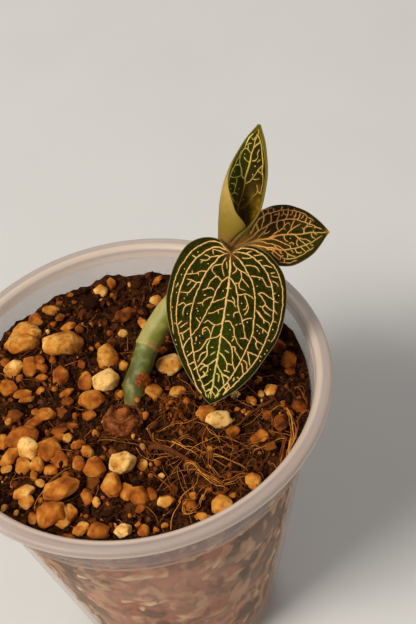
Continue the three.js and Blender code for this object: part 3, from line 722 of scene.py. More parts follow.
# fibres: points, radius, tone, height over the mix
tracedFibres = [
    ([(29.2, -25.8), (30.5, -24.1), (31.2, -22.8), (31.4, -21.3), (31.9, -19.3), (32.1, -17.1), (32, -15),
      (31.9, -13.9)], 0.26, 0.95, 2.2),
    ([(29.4, -25.4), (31.2, -23.4), (32.1, -21.8), (32.3, -19.9), (32.4, -18.4)], 0.2, 0.9, 2),
    ([(32.1, -17.1), (31.7, -15.4), (31, -14.1)], 0.14, 0.9, 1.2),
    ([(32.5, -19.5), (33.4, -18.7), (34.9, -17.2), (36.2, -16.3), (36.7, -16.3)], 0.15, 0.75, 1.8),
    ([(29.1, -26), (30.4, -23.2), (31.1, -21.2)], 0.24, 0.85, 1.6),
    ([(26.5, -28.5), (27.5, -26.5), (28.7, -24.3), (29.9, -21.7)], 0.26, 0.6, 1),
    ([(29.8, -22.2), (28.2, -22.2), (26.3, -22.9), (24.5, -23.8), (23.1, -23.9), (21.8, -23.8)],
      0.18, 0.85, 1.4), ([(21.4, -22.3), (22.6, -22.7), (23.5, -23.7), (24.5, -24)], 0.11, 0.8, 1.2),
    ([(23.4, -23), (23.7, -24.2), (23.9, -24.9)], 0.08, 0.95, 1.5),
    ([(21.1, -23.5), (21.4, -22.3), (22.7, -22.1), (24.5, -22)], 0.09, 0.7, 1),
    ([(16.4, -16.6), (17.5, -18.3), (19.1, -20.2), (20.2, -21.4), (21.3, -22.3)], 0.13, 0.65, 1.2),
    ([(21.3, -22.3), (19.9, -22.4), (18.1, -22.7), (16.1, -22.5)], 0.13, 0.7, 1),
    ([(18.5, -21.3), (16.6, -20.6), (14.9, -20.5), (12.8, -20.7), (10.9, -20.5)], 0.13, 0.7, 1.2),
    ([(15.8, -16.2), (15.6, -17.7), (14.9, -19.2), (14.3, -20.3)], 0.13, 0.6, 1),
    ([(12.3, -17.5), (12.1, -19.1), (12.6, -20.8), (12.5, -21.9), (11.6, -23.3)], 0.15, 0.7, 1.4),
    ([(5.5, -14.7), (7.1, -17.2), (7.8, -18.3), (9.2, -19.2), (10.2, -20.1), (10.9, -20.5)], 0.2, 0.85, 1.3),
    ([(12.6, -20.8), (13.7, -21.8), (15.1, -23), (16.3, -24.3), (17.2, -25.1), (18.3, -26), (19.4, -27)],
      0.15, 0.85, 1.5),
    ([(19.4, -23.1), (18.1, -24), (16.7, -25), (15.2, -26.2), (13.2, -27.4)], 0.09, 0.7, 1.8),
    ([(19.3, -26.9), (20.7, -27.3), (21.9, -27.8)], 0.1, 0.5, 0.8),
    ([(6.6, -22.4), (7, -21.9), (8.2, -22.1), (8.9, -23.2), (9.4, -24.7), (10.4, -26.3), (11.5, -27.5),
      (12.6, -28.6), (13.7, -29.6)], 0.23, 0.8, 1.5),
    ([(8.5, -24.5), (9.5, -25.7), (10.4, -27.3), (11.2, -28.8), (12, -29.7), (13.2, -30.1), (14, -30.2)],
      0.14, 0.95, 1.8),
    ([(7.4, -23.1), (8.5, -24.1), (9.6, -24.7), (10.7, -26.6), (11.7, -27.9)], 0.18, 0.7, 1.2),
    ([(8.3, -21.5), (8.9, -22.8), (9.4, -24.2)], 0.13, 0.9, 1.2),
    ([(11.6, -23.3), (12.2, -24.7), (12.5, -26.1), (12.6, -27.2)], 0.15, 0.85, 1.3),
    ([(12.4, -27.8), (14.2, -27.5), (16.2, -27.6), (18.1, -28.2), (19.5, -29.1), (21, -29.8), (22.2, -31)],
      0.16, 0.55, 1.2),
    ([(13.7, -29.6), (15.6, -29.9), (17.4, -29.4), (19.1, -29.6), (20.7, -29.9), (21.9, -30.3)],
      0.16, 0.65, 1.4), ([(17.1, -28.1), (17.3, -29.4), (17.6, -31.2), (18.4, -31.6)], 0.14, 0.7, 1.2),
    ([(21.2, -29.2), (22, -29.9), (22.2, -31)], 0.13, 0.75, 1),
    ([(25.8, -24.2), (24.9, -25.6), (23.8, -27), (22.3, -28.2), (21.8, -29)], 0.13, 0.4, 1),
    ([(24.2, -27.5), (24.7, -28.1), (25.5, -28.8)], 0.09, 0.95, 0.9),
    ([(8.5, -25.6), (7.6, -26.6), (7.4, -28.8), (6.7, -31.2)], 0.12, 0.75, 1.5),
    ([(11, -28.8), (9.3, -29.6), (8.1, -30.5), (7.2, -31.4)], 0.12, 0.6, 1.2),
    ([(10.8, -29.1), (9.6, -30.4), (8.2, -31.9), (7.7, -33), (7.5, -33.7), (6.3, -34.5), (5.3, -35.2),
      (5.1, -36.8)], 0.12, 0.85, 1.6),
    ([(5.5, -21.2), (5.1, -24.3), (5.1, -26.6), (5.2, -28.3), (5.6, -29.8), (5.8, -30.7)], 0.13, 0.7, 1.2),
    ([(6.9, -32.1), (5.5, -31.6), (4.2, -33.1), (4.1, -34.6), (5.1, -35.3), (6.7, -34.9)], 0.26, 0.9, 1.6),
    ([(24.5, -15.6), (25, -17.4), (25.4, -19.7), (26.4, -20.5)], 0.14, 0.4, 1),
    ([(30.5, -10.9), (28.4, -12), (26.5, -12.7), (24.7, -13.2), (23.1, -14), (21.8, -14.9), (20.2, -15.7),
      (18.5, -15.7)], 0.42, 0.3, 1.6),
    ([(35.1, -9), (35.9, -10), (36.3, -11.5), (36.4, -13), (36.7, -14)], 0.18, 0.55, 1.2),
    ([(10.6, -16.9), (9.6, -16.1), (8.5, -15.5), (7.3, -16), (6, -17.1)], 0.14, 0.6, 1.2),
    ([(10.7, -17.1), (10.8, -18.7)], 0.16, 0.5, 1),
    ([(11, -7.6), (10.4, -5.5), (9.9, -4.4), (9, -2.2)], 0.18, 0.5, 1.2),
    ([(9.2, -3), (10.2, -3.1), (12.7, -3.8), (14.6, -4.1)], 0.13, 0.5, 1.4),
    ([(-10.1, -8.9), (-4.4, -12.3), (-1.3, -14.5), (0, -18.3)], 0.18, 0.45, 1),
    ([(-19.7, -8.8), (-16.3, -10.5), (-14.4, -12.3)], 0.11, 0.6, 1.2),
    ([(-17, -14.8), (-19.4, -15.7), (-22.5, -18), (-24.5, -20.1), (-26.6, -22.1)], 0.13, 0.7, 1.6),
    ([(-1.1, -21.3), (1.1, -24.8), (2.7, -27.5), (1.9, -28.9)], 0.12, 0.6, 1.2),
    ([(2.2, -11), (2, -13.9), (4.2, -16.4), (6.6, -18)], 0.18, 0.7, 1.4),
    ([(-17.1, 1.6), (-14.5, 3.1)], 0.11, 0.6, 1.2),
    ([(-24.6, -14.5), (-19.7, -17.3), (-14.7, -19.5)], 0.14, 0.3, 0.8),
    ([(7.8, -2.2), (5.9, -6.4), (5.4, -11)], 0.17, 0.4, 1.2),
    ([(-5.3, -2.5), (-0.9, 0.8), (-0.9, 5.8)], 0.1, 0.6, 1.2),
    ([(-23.1, 14.9), (-19.8, 11.2), (-17.8, 6.1)], 0.12, 0.35, 1),
    ([(0.6, -14.3), (3.2, -16.3), (5.6, -18.4), (8.2, -20.8)], 0.85, 0.28, 0.2),
]
curled = {
    "middle": (-3.5, -5.6), "lift": 0.9, "size": (8.8, 8.4, 5), "hollow": (6.4, 5), "hollowAt": (0.6, 0.7),
    "ridge": 0.06, "rough": 0.26, "pileAt": (7.6, -6.6), "pile": 170,
}


def mixTop(x, y):
    broad = 0.8 * math.sin(0.16 * x + 1.1) * math.cos(0.14 * y - 0.4)
    fine = 0.45 * math.sin(0.55 * x - 0.3 * y) + 0.35 * math.sin(0.62 * y + 0.35 * x + 2)
    return mix["level"] + broad + fine


def crumbTop(x, y):  # the mix's surface with its crumbs
    rough = noise.fractal(Vector((x * 0.45, y * 0.45, 3)), 0.7, 2.1, 5)
    return mixTop(x, y) + 0.75 * rough - 0.2


def apart(one, other):  # distance seen from above
    return math.hypot(one[0] - other[0], one[1] - other[1])


def clear(at, reach):  # whether nothing traced is hidden by a dark lump here
    return apart(at, curled["middle"]) > reach + 5 and all(
        apart(at, stone) > 0.8 * reach + 0.22 * (stone[2] + stone[3]) for stone in bigStones + smallStones)


def scatter(draw, kind):  # a random place for one of a kind
    radius = mix["spread"][kind] * math.sqrt(draw())
    return around(radius, draw() * 2 * math.pi)


def layOut():
    draw = randomFrom(mix["seed"])
    stones = []
    for x, y, width, length, tone in bigStones:
        stones.append((x, y, width, length, min(width, length) * (0.7 + 0.2 * draw()), 0, tone))
    for _ in range(mix["looseStones"]):
        x, y = scatter(draw, "stones")
        width = 2.2 + 2.6 * draw() ** 2
        length = width * (0.75 + 0.5 * draw())
        height = width * (0.65 + 0.3 * draw())
        turn = draw() * math.pi
        if (x < 8 or draw() < 0.35) and clear((x, y), 0.5 * width):
            stones.append((x, y, width, length, height, turn, None))
    chips = []
    for _ in range(mix["chips"]):
        x, y = scatter(draw, "chips")
        chip = (x, y, 2.4 + 2 * draw(), 0.9 * (draw() - 0.5), 0.9 * (draw() - 0.5), draw() * math.pi)
        if clear(chip, 0.45 * chip[2]):
            chips.append(chip)
    fibres = []
    for _ in range(mix["fibres"]):
        x, y = scatter(draw, "fibres")
        turn, length, bow = draw() * 2 * math.pi, 8 + 9 * draw(), 3 * (draw() - 0.5)
        fibres.append(arc(x + 6, y - 4, turn, length, bow))
    return stones, chips, fibres


def arc(x, y, turn, length, bow):
    points = []
    for part in (-0.5, -0.25, 0, 0.25, 0.5):
        run, side = part * length, bow * (1 - 4 * part * part)
        points.append((x + run * math.cos(turn) - side * math.sin(turn),
                       y + run * math.sin(turn) + side * math.cos(turn)))
    return points


def inside(at, margin):
    return math.hypot(at[0], at[1]) < mix["reach"] - margin


def sideGround(paint):  # the mix as it shows through the wall, with painted shade towards its sides
    soft = paint.noise(2.6, 2, 0.45, (1, 1, 0.38))
    blobs = paint.noise(4, 2, 0.35, (1, 1, 0.4))
    broad = paint.noise(12, 2, 0.5)
    across = paint.axis("X") / mm
    # painted shade: darker towards the pot's left and right sides (by x); the left stands for a painted
    # shadow
    broad = broad + (paint.ease(across, 17, 8) * paint.ease(across, -22, -12) - 0.5) * 0.26
    base = paint.mix(paint.ease(broad, 0.45, 0.57), (30, 25, 25), (176, 100, 80))
    base = paint.over(base, (44, 29, 24), soft, 0.52, 0.34, 0.6)
    return paint.over(base, (214, 168, 128), blobs, 0.52, 0.64, 0.75)


def groundMaterial():
    paint = Paint("darkMix")
    height = paint.axis("Z") / mm
    grain = paint.noise(0.7, 5, 0.65)
    patches = paint.noise(5, 3, 0.5)
    dark = paint.mix(paint.ease(grain, 0.38, 0.7), (22, 11, 5), (82, 44, 18))
    top = paint.over(dark, (110, 60, 22), patches, 0.5, 0.75, 0.6)
    side = sideGround(paint)
    colour = paint.mix(paint.ease(height, 77.6, 78.6), side, top)
    return paint.finish(colour, 0.95, 0.05, paint.bump(grain, 0.35, 0.8))


def makeGround():
    rings, segments = mix["rings"], mix["segments"]
    points, faces = lathe(mix["side"], segments)
    last = len(points) - segments
    count = len(points)
    for ring in range(rings):
        radius = mix["reach"] * (1 - ring / rings) ** 0.9
        for i in range(segments):
            x, y = around(radius, 2 * math.pi * i / segments)
            points.append((x, y, crumbTop(x, y)))
    points.append((0, 0, crumbTop(0, 0)))
    inmost = count + (rings - 1) * segments
    for i in range(segments):
        j = (i + 1) % segments
        faces.append((last + i, last + j, count + j, count + i))
        faces.append((inmost + i, inmost + j, len(points) - 1))
    faces += gridFaces(rings, segments, count, wrap=True)
    ground = newPiece("mixGround", points, faces, groundMaterial())
    placeClosed(ground, "bark_mix", "potting_mix")


def stoneMaterial():
    paint = Paint("pumiceStone")
    tone = paint.attribute("tone") / 4
    patches = paint.noise(3.4, 2, 0.5)
    spots = paint.noise(1.2, 4, 0.6)
    grain = paint.noise(0.25, 3, 0.6)
    base = paint.ramp(tone + (patches - 0.5) * 1.5 + (spots - 0.5) * 0.3, [
        (0.0, (64, 28, 8)), (0.25, (142, 72, 19)), (0.5, (182, 109, 36)),
        (0.75, (206, 146, 64)), (1.0, (234, 190, 116))])
    stain = paint.over(base, (142, 70, 20), spots, 0.47, 0.33, 0.6)
    pits = paint.over(stain, (104, 52, 18), grain, 0.42, 0.3, 0.15)
    colour = paint.over(pits, (248, 216, 150), grain, 0.6, 0.76, 0.2)
    return paint.finish(colour, 0.85, 0.1, paint.bump(spots * 0.6 + grain * 0.4, 0.3, 0.7))


# a ramp over the tone of each point, uneven by a grain
def tonedMaterial(name, stops, grain, uneven, roughness, shine, relief=None):
    paint = Paint(name)
    spots = paint.noise(*grain)
    colour = paint.ramp(paint.attribute("tone") + (spots - 0.5) * uneven, stops)
    return paint.finish(colour, roughness, shine, relief and paint.bump(spots, *relief))


def crumbMaterial():
    stops = [(0.0, (24, 11, 4)), (0.4, (62, 31, 12)), (0.75, (116, 62, 22)), (1.0, (170, 98, 38))]
    return tonedMaterial("barkCrumb", stops, (0.5, 4, 0.65, (1, 2.2, 1)), 0.5, 0.9, 0.06, (0.3, 0.9))


def sideMaterial():  # a stone is pale where it touches the wall and fades into the mix round that
    paint = Paint("buriedStone")
    spots = paint.noise(2.2, 2, 0.5)
    height, radius = paint.axis("Z") / mm, paint.radius()
    gap = 30.9 + (height - 36.6) * 0.2013 + paint.ease(height, 70.4, 72.2) * 0.7 - radius
    stone = paint.ramp(paint.attribute("tone") + (spots - 0.5) * 0.3, [
        (0.0, (70, 46, 38)), (0.4, (150, 104, 76)), (0.75, (212, 172, 126)), (1.0, (250, 228, 184))])
    colour = paint.mix(paint.ease(gap + (spots - 0.5) * 0.6, 0.12, 0.76), stone, sideGround(paint))
    return paint.finish(colour, 0.9, 0.05)


def makeSideStones():  # stones pressed against the wall, seen through it
    draw = randomFrom(mix["seed"] + 300)
    profile = np.array(mix["side"][5:])
    items = []
    for _ in range(mix["sideStones"]):
        height = 8 + 67 * draw() ** 0.85
        turn = draw() * 2 * math.pi
        wide = 2.8 + 3.4 * draw() ** 1.6
        thin = 1.6 + 0.3 * wide
        radius = float(np.interp(height, profile[:, 1], profile[:, 0])) + 0.58 - 0.5 * thin
        size = (thin, wide, wide * (1.6 + 0.8 * draw()))
        lean = (draw() * 6, 0.19, turn)
        items.append(((*around(radius, turn), height), size, lean, anyShape(draw), draw() ** 0.8))
    shapes = lumpSet("buriedShape", 511, 16, 0.95, 0)
    piece = lumps("buriedStones", items, shapes, sideMaterial())
    dropSet(shapes)
    place(piece, "bark_mix")


def makeLumps(stones, chips):
    draw = randomFrom(mix["seed"] + 900)

    def anyTurn():
        return draw() * 6, draw() * 6, draw() * 6

    def crumbSize(width):
        return width, width * (0.5 + 0.5 * draw()), width * 0.7
    pale, dark, tiny = [], [], []
    for x, y, width, length, height, turn, tone in stones:
        at = (x, y, mixTop(x, y) + mix["stoneLift"] * height)
        size = (width * 1.15, length * 1.15, height * 1.1)
        lump = (at, size, (draw() - 0.5, draw() - 0.5, turn), anyShape(draw))
        if tone is None:
            dark.append(lump + (0.1 + 0.75 * draw() ** 1.5,))
        else:
            pale.append(lump + (tone,))
    for x, y, width, length, tone in smallStones:
        height = 0.8 * min(width, length)
        at, size = (x, y, mixTop(x, y) + 0.25 * height), (width * 1.22, length * 1.22, height * 1.1)
        pale.append((at, size, (draw() - 0.5, draw() - 0.5, (draw() - 0.5) * 0.8), anyShape(draw), tone))
    for _ in range(mix["pebbles"]):
        x, y = scatter(draw, "pebbles")
        width = 0.8 + 2.3 * draw() ** 1.8
        if x < 2 or draw() < 0.35:
            at = (x, y, crumbTop(x, y) + 0.3 * width)
            size = (width, width * (0.7 + 0.4 * draw()), width * 0.8)
            tiny.append((at, size, anyTurn(), anyShape(draw), 0.7 + 1.7 * draw()))
    for x, y, length, tipX, tipY, turn in chips:
        at, size = (x, y, mixTop(x, y) + 0.4), (length, length * 0.55, 1.6)
        dark.append((at, size, (tipX, tipY, turn), anyShape(draw), 0.25 + 0.35 * draw()))
    for _ in range(mix["chunks"]):
        x, y = scatter(draw, "chunks")
        width = 1.4 + 2.2 * draw() ** 2
        at, size = (x, y, mixTop(x, y) - 0.05 * width), (width, width * (0.45 + 0.5 * draw()), width * 0.7)
        turn = (1.4 * draw() - 0.7, 1.4 * draw() - 0.7, draw() * 6)
        chunk = (at, size, turn, anyShape(draw), 0.05 + 0.85 * draw() ** 1.5)
        if clear(at, 0.4 * width):
            dark.append(chunk)
    for _ in range(mix["crumbs"]):
        x, y = scatter(draw, "crumbs")
        width = 0.5 + 1.7 * draw() ** 2.5
        at = (x, y, crumbTop(x, y) + 0.15 * width)
        dark.append((at, crumbSize(width), anyTurn(), anyShape(draw), 0.05 + 0.85 * draw() ** 2))
    for _ in range(curled["pile"]):  # crumbs heaped beside the curled bark
        run, side = 2 * draw() - 1, 2 * draw() - 1
        x, y = curled["pileAt"][0] + 2.4 * side + run, curled["pileAt"][1] - 5.4 * run
        width = 0.6 + 1.3 * draw() ** 2
        at = (x, y, crumbTop(x, y) + 2.6 * max(0, 1 - run * run - side * side))
        dark.append((at, crumbSize(width), anyTurn(), anyShape(draw), 0.55 + 0.45 * draw()))
    kept = []
    for item in tiny:
        if all(apart(item[0], other[0]) > 0.42 * (item[1][0] + other[1][0]) for other in pale + kept):
            kept.append(item)
    pale = [item for item in pale if inside(item[0], item[1][0] * 0.5)]
    dark = [item for item in dark if inside(item[0], item[1][0] * 0.55)]
    kept = [item for item in kept if inside(item[0], 1.2)]
    stoneLook = stoneMaterial()
    for name, items, shapes, look in (
            ("paleStones", pale, lumpSet("stoneShape", 11, 15, 0.95, 3), stoneLook),
            ("smallPebbles", kept, lumpSet("pebbleShape", 711, 13, 0.9, 2, 0), stoneLook),
            ("barkCrumbs", dark, lumpSet("crumbShape", 311, 14, 0.7, 0, soft=False), crumbMaterial())):
        place(lumps(name, items, shapes, look), "bark_mix")
        dropSet(shapes)


def fibreMaterial():
    stops = [(0.0, (46, 22, 8)), (0.4, (108, 57, 20)), (0.75, (176, 104, 38)), (1.0, (226, 160, 72))]
    return tonedMaterial("coirFibre", stops, (1.2, 3, 0.6), 0.5, 0.7, 0.12)


# a fibre's ends dip into the mix; low is the height of a traced one
def strand(points, radius, rise, tone, sway, low=None):
    flat = evenPoints([(x, y, 0) for x, y in points], 0.5)
    parts = np.linspace(0, 1, len(flat))
    line = []
    for part, (x, y, _) in zip(parts, flat):
        push = noise.noise_vector(Vector((x * 0.3, y * 0.3, tone * 40)))
        bottom = mixTop(x, y) - 0.5
        top = mixTop(x, y) + rise if low is None else max(low, mixTop(x, y) + 0.4 * rise)
        dip = (4 * part * (1 - part)) ** (0.5 if low is None else 0.25)
        height = bottom + (top - bottom) * dip + 0.4 * sway * push.z
        line.append((x + sway * push.x, y + sway * push.y, height))
    radii = radius * (0.75 + 0.35 * np.sin(parts * 9 + tone * 20) ** 2) * (1 - 0.4 * parts)
    return line, radii, tone + 0.1 * np.sin(parts * 5 + tone * 30)


def makeFibres(fibres):
    draw = randomFrom(mix["seed"] + 1700)
    noise.seed_set(mix["seed"])  # else the fibres sway differently each run
    lines = []
    for points, radius, tone, rise in tracedFibres:
        low = mix["fibreHeight"] + 0.35 * rise
        lines.append(strand(points, radius * (0.72 if radius < 0.3 else 1), rise, tone, 0.3, low))
        if 0.11 < radius < 0.3:  # coarse fibres are bundles
            for _ in range(int(radius * 14)):
                shift = (draw() - 0.5, draw() - 0.5)
                moved = [(x + shift[0] * (0.5 + draw()), y + shift[1] * (0.5 + draw())) for x, y in points]
                thin, lift, shade = 0.045 + 0.05 * draw(), rise + draw(), tone * (0.6 + 0.45 * draw())
                lines.append(strand(moved, thin, lift, shade, 0.7, mix["fibreHeight"] + 0.5 * rise))
    for points in fibres:
        lines.append(strand(points, 0.09, 0.8, 0.25 + 0.4 * draw(), 1.2))
    for number in range(mix["hairs"] + mix["tangle"]):
        if number < mix["hairs"]:
            x, y = scatter(draw, "hairs")
            points = arc(x, y, draw() * 6.3, 3 + 7 * draw(), 3 * (draw() - 0.5))
            radius, rise, tone = 0.05 + 0.07 * draw(), 0.2 + 0.7 * draw(), 0.1 + 0.6 * draw()
        else:  # longer hairs tangle at one side
            x, y = 18 + 32 * (draw() - 0.5), -18 + 30 * (draw() - 0.5)
            points = arc(x, y, draw() * 6.3, 7 + 13 * draw(), 9 * (draw() - 0.5))
            radius, rise, tone = 0.05 + 0.06 * draw() ** 2, 0.4 + 1.6 * draw(), 0.25 + 0.6 * draw()
        if all(inside(point, 1.2) for point in points):
            lines.append(strand(points, radius, rise, tone, 1.2))
    place(strands("coirFibres", lines, fibreMaterial(), 7), "bark_mix")


def barkMaterial():
    paint = Paint("curledBark")
    hollow, ridge, core = [paint.attribute(name) for name in ("hollow", "ridge", "core")]
    grain = paint.noise(0.6, 5, 0.65)
    patches = paint.noise(2.2, 3, 0.6)
    base = paint.ramp(ridge * 0.1 + grain * 0.5 + patches * 0.5, [
        (0.35, (56, 24, 10)), (0.53, (104, 54, 26)), (0.72, (156, 94, 52))])
    base = paint.over(base, (150, 84, 34), patches, 0.55, 0.7, 0.55)
    base = paint.mix(core * 0.6, base, (184, 104, 46))
    # painted shade: the hollow is painted near black
    colour = paint.mix(hollow, base, (36, 16, 8))
    return paint.finish(colour, 0.85, 0.03, paint.bump(grain, 0.3, 0.8))


def makeBark():
    made = bmesh.new()
    bmesh.ops.create_icosphere(made, subdivisions=6, radius=1)
    x0, y0 = curled["middle"]
    z0 = mixTop(x0, y0) + curled["lift"]
    width, length, height = [v / 2 for v in curled["size"]]
    points, hollow, ridges, cores = [], [], [], []
    for v in made.verts:
        edge = noise.noise(v.co * 1.3 + Vector((2, 7, 1)))
        point = Vector((v.co.x * width, v.co.y * length, v.co.z * height)) * (1 + 0.15 * edge)
        gap = Vector((point.x - curled["hollowAt"][0], point.y - curled["hollowAt"][1], 0))
        away = math.hypot(gap.x / (curled["hollow"][0] / 2), gap.y / (curled["hollow"][1] / 2))
        sway = noise.fractal(point * 0.35 + Vector((3, 1, 8)), 0.8, 2.0, 3)
        ridge = math.sin(gap.length * 4.2 + 7 * sway)
        point += v.co.normalized() * curled["rough"] * noise.fractal(point * 0.7, 0.8, 2.1, 4)
        turned = 0.62 + 0.38 * math.cos(math.atan2(gap.y, gap.x) - 0.8)
        depth = math.exp(-((away + 0.35 * edge - 0.78) / 0.27) ** 2) * turned if point.z > 0 else 0
        point += v.co.normalized() * curled["ridge"] * ridge * (1 - depth)
        point.z -= 1.6 * depth
        cores.append(1 - eased(away, 0.3, 0.75) if point.z > 0 else 0)
        hollow.append(depth)
        ridges.append(0.5 + 0.5 * ridge)
        points.append(tuple(point + Vector((x0, y0, z0))))
    faces = [[v.index for v in f.verts] for f in made.faces]
    made.free()
    piece = newPiece("curledBark", points, faces, barkMaterial(), attributes={
        "hollow": hollow, "ridge": ridges, "core": cores})
    place(piece, "bark_mix")


makeGround()
print("mix surface")
stoneList, chipList, fibreList = layOut()
makeLumps(stoneList, chipList)
makeSideStones()
print("stones and crumbs")
makeFibres(fibreList)
makeBark()
print("fibres and bark")


# stem

stem = {
    "path": [(-4.6, -2.1, 63.6), (-2, -1.6, 74), (0, -0.4, 80), (0.9, 2, 82.4), (3.2, 4.5, 84.6),
             (6.4, 8.6, 87.4), (10.4, 11.6, 90.4), (16, 13.2, 95.2), (22.4, 13, 101), (27.7, 11.2, 105.9)],
    "nodes": [0.16, 0.34, 0.5, 0.76, 0.9], "swell": 0.22,
    "radius": 2.5, "upperRadius": 2.75, "tipRadius": 1.5,
    "roots": [(0.03, (-7, -4, -16)), (0.08, (6, -5, -19)), (0.14, (-2, 8, -17))], "rootRadius": 1.1,
    "rings": 260, "sides": 72,
}
stemLine = curveThrough(stem["path"], 40)


def stemRadius(along):
    step = eased(along, stem["nodes"][2] - 0.012, stem["nodes"][2] + 0.004)
    radius = stem["radius"] + (stem["upperRadius"] - stem["radius"]) * step
    radius += (stem["tipRadius"] - radius) * eased(along, 0.62, 1)
    for node in stem["nodes"]:
        radius += stem["swell"] * math.exp(-((along - node) / 0.014) ** 2)
    return radius


def onStem(part):  # a point of the stem's middle line and its direction there
    centre, ahead = atParts(stemLine, [part, part + 0.01])
    return centre, (ahead - centre) / np.linalg.norm(ahead - centre)


def stemMaterial():
    paint = Paint("stemSkin")
    along = paint.attribute("along")
    root, scar, dry, cream = [paint.attribute(name) for name in ("root", "scar", "dry", "cream")]
    streaks = paint.noise(0.9, 3, 0.55)
    patches = paint.noise(3.2, 2, 0.5)
    base = paint.ramp(along + (streaks - 0.5) * 0.012, [
        (0.0, (120, 92, 48)), (0.27, (112, 96, 44)), (0.305, (88, 88, 30)), (0.36, (72, 74, 18)),
        (0.395, (78, 80, 22)),
        (0.405, (82, 90, 32)), (0.493, (98, 108, 44)), (0.5, (160, 152, 84)), (0.53, (124, 126, 40)),
        (0.66, (122, 128, 44)), (0.9, (112, 112, 42)), (1.0, (116, 84, 40))])
    pale = paint.over(base, (196, 182, 118), patches, 0.48, 0.68, 0.35)
    # painted highlight: the upper joint is painted creamy pale on its side towards the camera's left
    pale = paint.mix(cream * (0.55 + streaks * 0.5), pale, (200, 182, 124))
    tan = paint.mix(streaks, (120, 78, 36), (186, 142, 82))
    colour = paint.mix(dry, pale, tan)
    colour = paint.mix(scar, colour, paint.mix(paint.ease(streaks, 0.4, 0.6), (96, 44, 20), (164, 102, 52)))
    colour = paint.mix(root, colour, (176, 140, 90))
    return paint.finish(colour, 0.5 + scar * 0.3, 0.35, paint.bump(streaks, 0.08, 0.4))


def makeStem():
    parts = np.linspace(0, 1, stem["rings"])

    def bulge(i, turn):
        return 1 + 0.02 * wobble(math.cos(turn) * 1.3, math.sin(turn) * 1.3, parts[i] * 30)
    points, faces = tube(atParts(stemLine, parts), [stemRadius(p) for p in parts], stem["sides"], bulge)
    values = {key: [0.0] * len(points) for key in ("scar", "root", "dry", "cream")}
    values["along"] = list(np.repeat(parts, stem["sides"])) + [0, 1]
    toRight = np.array(view["right"])
    for k, along in enumerate(values["along"]):
        side = float((np.array(points[k]) - atParts(stemLine, [along])[0]) @ toRight)
        band = math.exp(-((along - 0.503) / 0.022) ** 2) + 0.5 * math.exp(-((along - 0.29) / 0.02) ** 2)
        blot = 0.5 * noise.noise(Vector(points[k]) * 0.8)
        values["dry"][k] = eased(band * (0.5 + 0.3 * side) + blot, 0.45, 0.8)
        upper = eased(along, 0.5, 0.52) * (1 - eased(along, 0.6, 0.75))
        # painted highlight, strongest on the side away from the view's right, on the upper joint only
        values["cream"][k] = upper * eased(0.3 - side, 0, 1.8) * 0.5
        gap = min(abs(along - n) for n in (stem["nodes"][0], stem["nodes"][4]))
        ragged = 0.006 + 0.004 * noise.noise(Vector(points[k]) * 0.9)
        values["scar"][k] = 1 - eased(gap, ragged * 0.6, ragged * 1.3)
    for start, reach in stem["roots"]:
        at = atParts(stemLine, [start])[0]
        end = at + np.array(reach, float)
        knee = at + (end - at) * 0.45 + np.array([0.35 * reach[0], 0.35 * reach[1], 1.5])
        line = evenPoints([at, knee, end], 0.6)
        more, moreFaces = tube(line, stem["rootRadius"] * (1 - 0.45 * np.linspace(0, 1, len(line))), 24)
        faces += shifted(moreFaces, len(points))
        points += more
        for key, numbers in values.items():
            numbers += [{"along": 0.1, "root": 1.0}.get(key, 0.0)] * len(more)
    piece = newPiece("stemBar", points, faces, stemMaterial(), values)
    placeClosed(piece, "stem_skin", "stem")


def collarMaterial():
    paint = Paint("drySheath")
    grain = paint.noise(0.5, 4, 0.6)
    colour = paint.mix(paint.ease(grain, 0.35, 0.65), (104, 46, 20), (166, 94, 42))
    return paint.finish(colour, 0.85, 0.04, paint.bump(grain, 0.12, 0.7))


collars = {"nodes": (3, 4), "width": 0.5, "thickness": 0.08, "sides": 90}


def makeCollars(look):  # dry, ragged remains of the sheaths at the joints
    points, faces = [], []
    sides, thick = collars["sides"], collars["thickness"]
    for number in collars["nodes"]:
        node = stem["nodes"][number]
        centre, ahead = onStem(node)
        side = np.cross(ahead, [0, 0, 1])
        side /= np.linalg.norm(side)
        other = np.cross(side, ahead)
        base, radius = len(points), stemRadius(node)
        for i in range(sides):
            turn = 2 * math.pi * i / sides
            outward = math.cos(turn) * side + math.sin(turn) * other
            torn = abs(wobble(math.cos(turn) * 2, math.sin(turn) * 2, node * 9))
            ragged = collars["width"] * (0.6 + 0.9 * torn)
            for run, lift in ((-0.3, -0.15), (-0.3, thick), (ragged, thick * 0.7), (ragged, -0.25)):
                points.append(centre + ahead * run + outward * (radius + lift))
        for i in range(sides):
            j = (i + 1) % sides
            for k in range(4):
                m = (k + 1) % 4
                faces.append((base + i * 4 + k, base + j * 4 + k, base + j * 4 + m, base + i * 4 + m))
    piece = newPiece("sheathScars", points, faces, look)
    placeClosed(piece, "stem_skin")


# its middle and length are parts of the stem's length, its start and sweep are angles round the stem
dryScale = {
    "rows": 16, "columns": 40, "middle": 0.372, "length": 0.048, "start": 0.05, "sweep": 2.4,
    "thickness": 0.2,
}


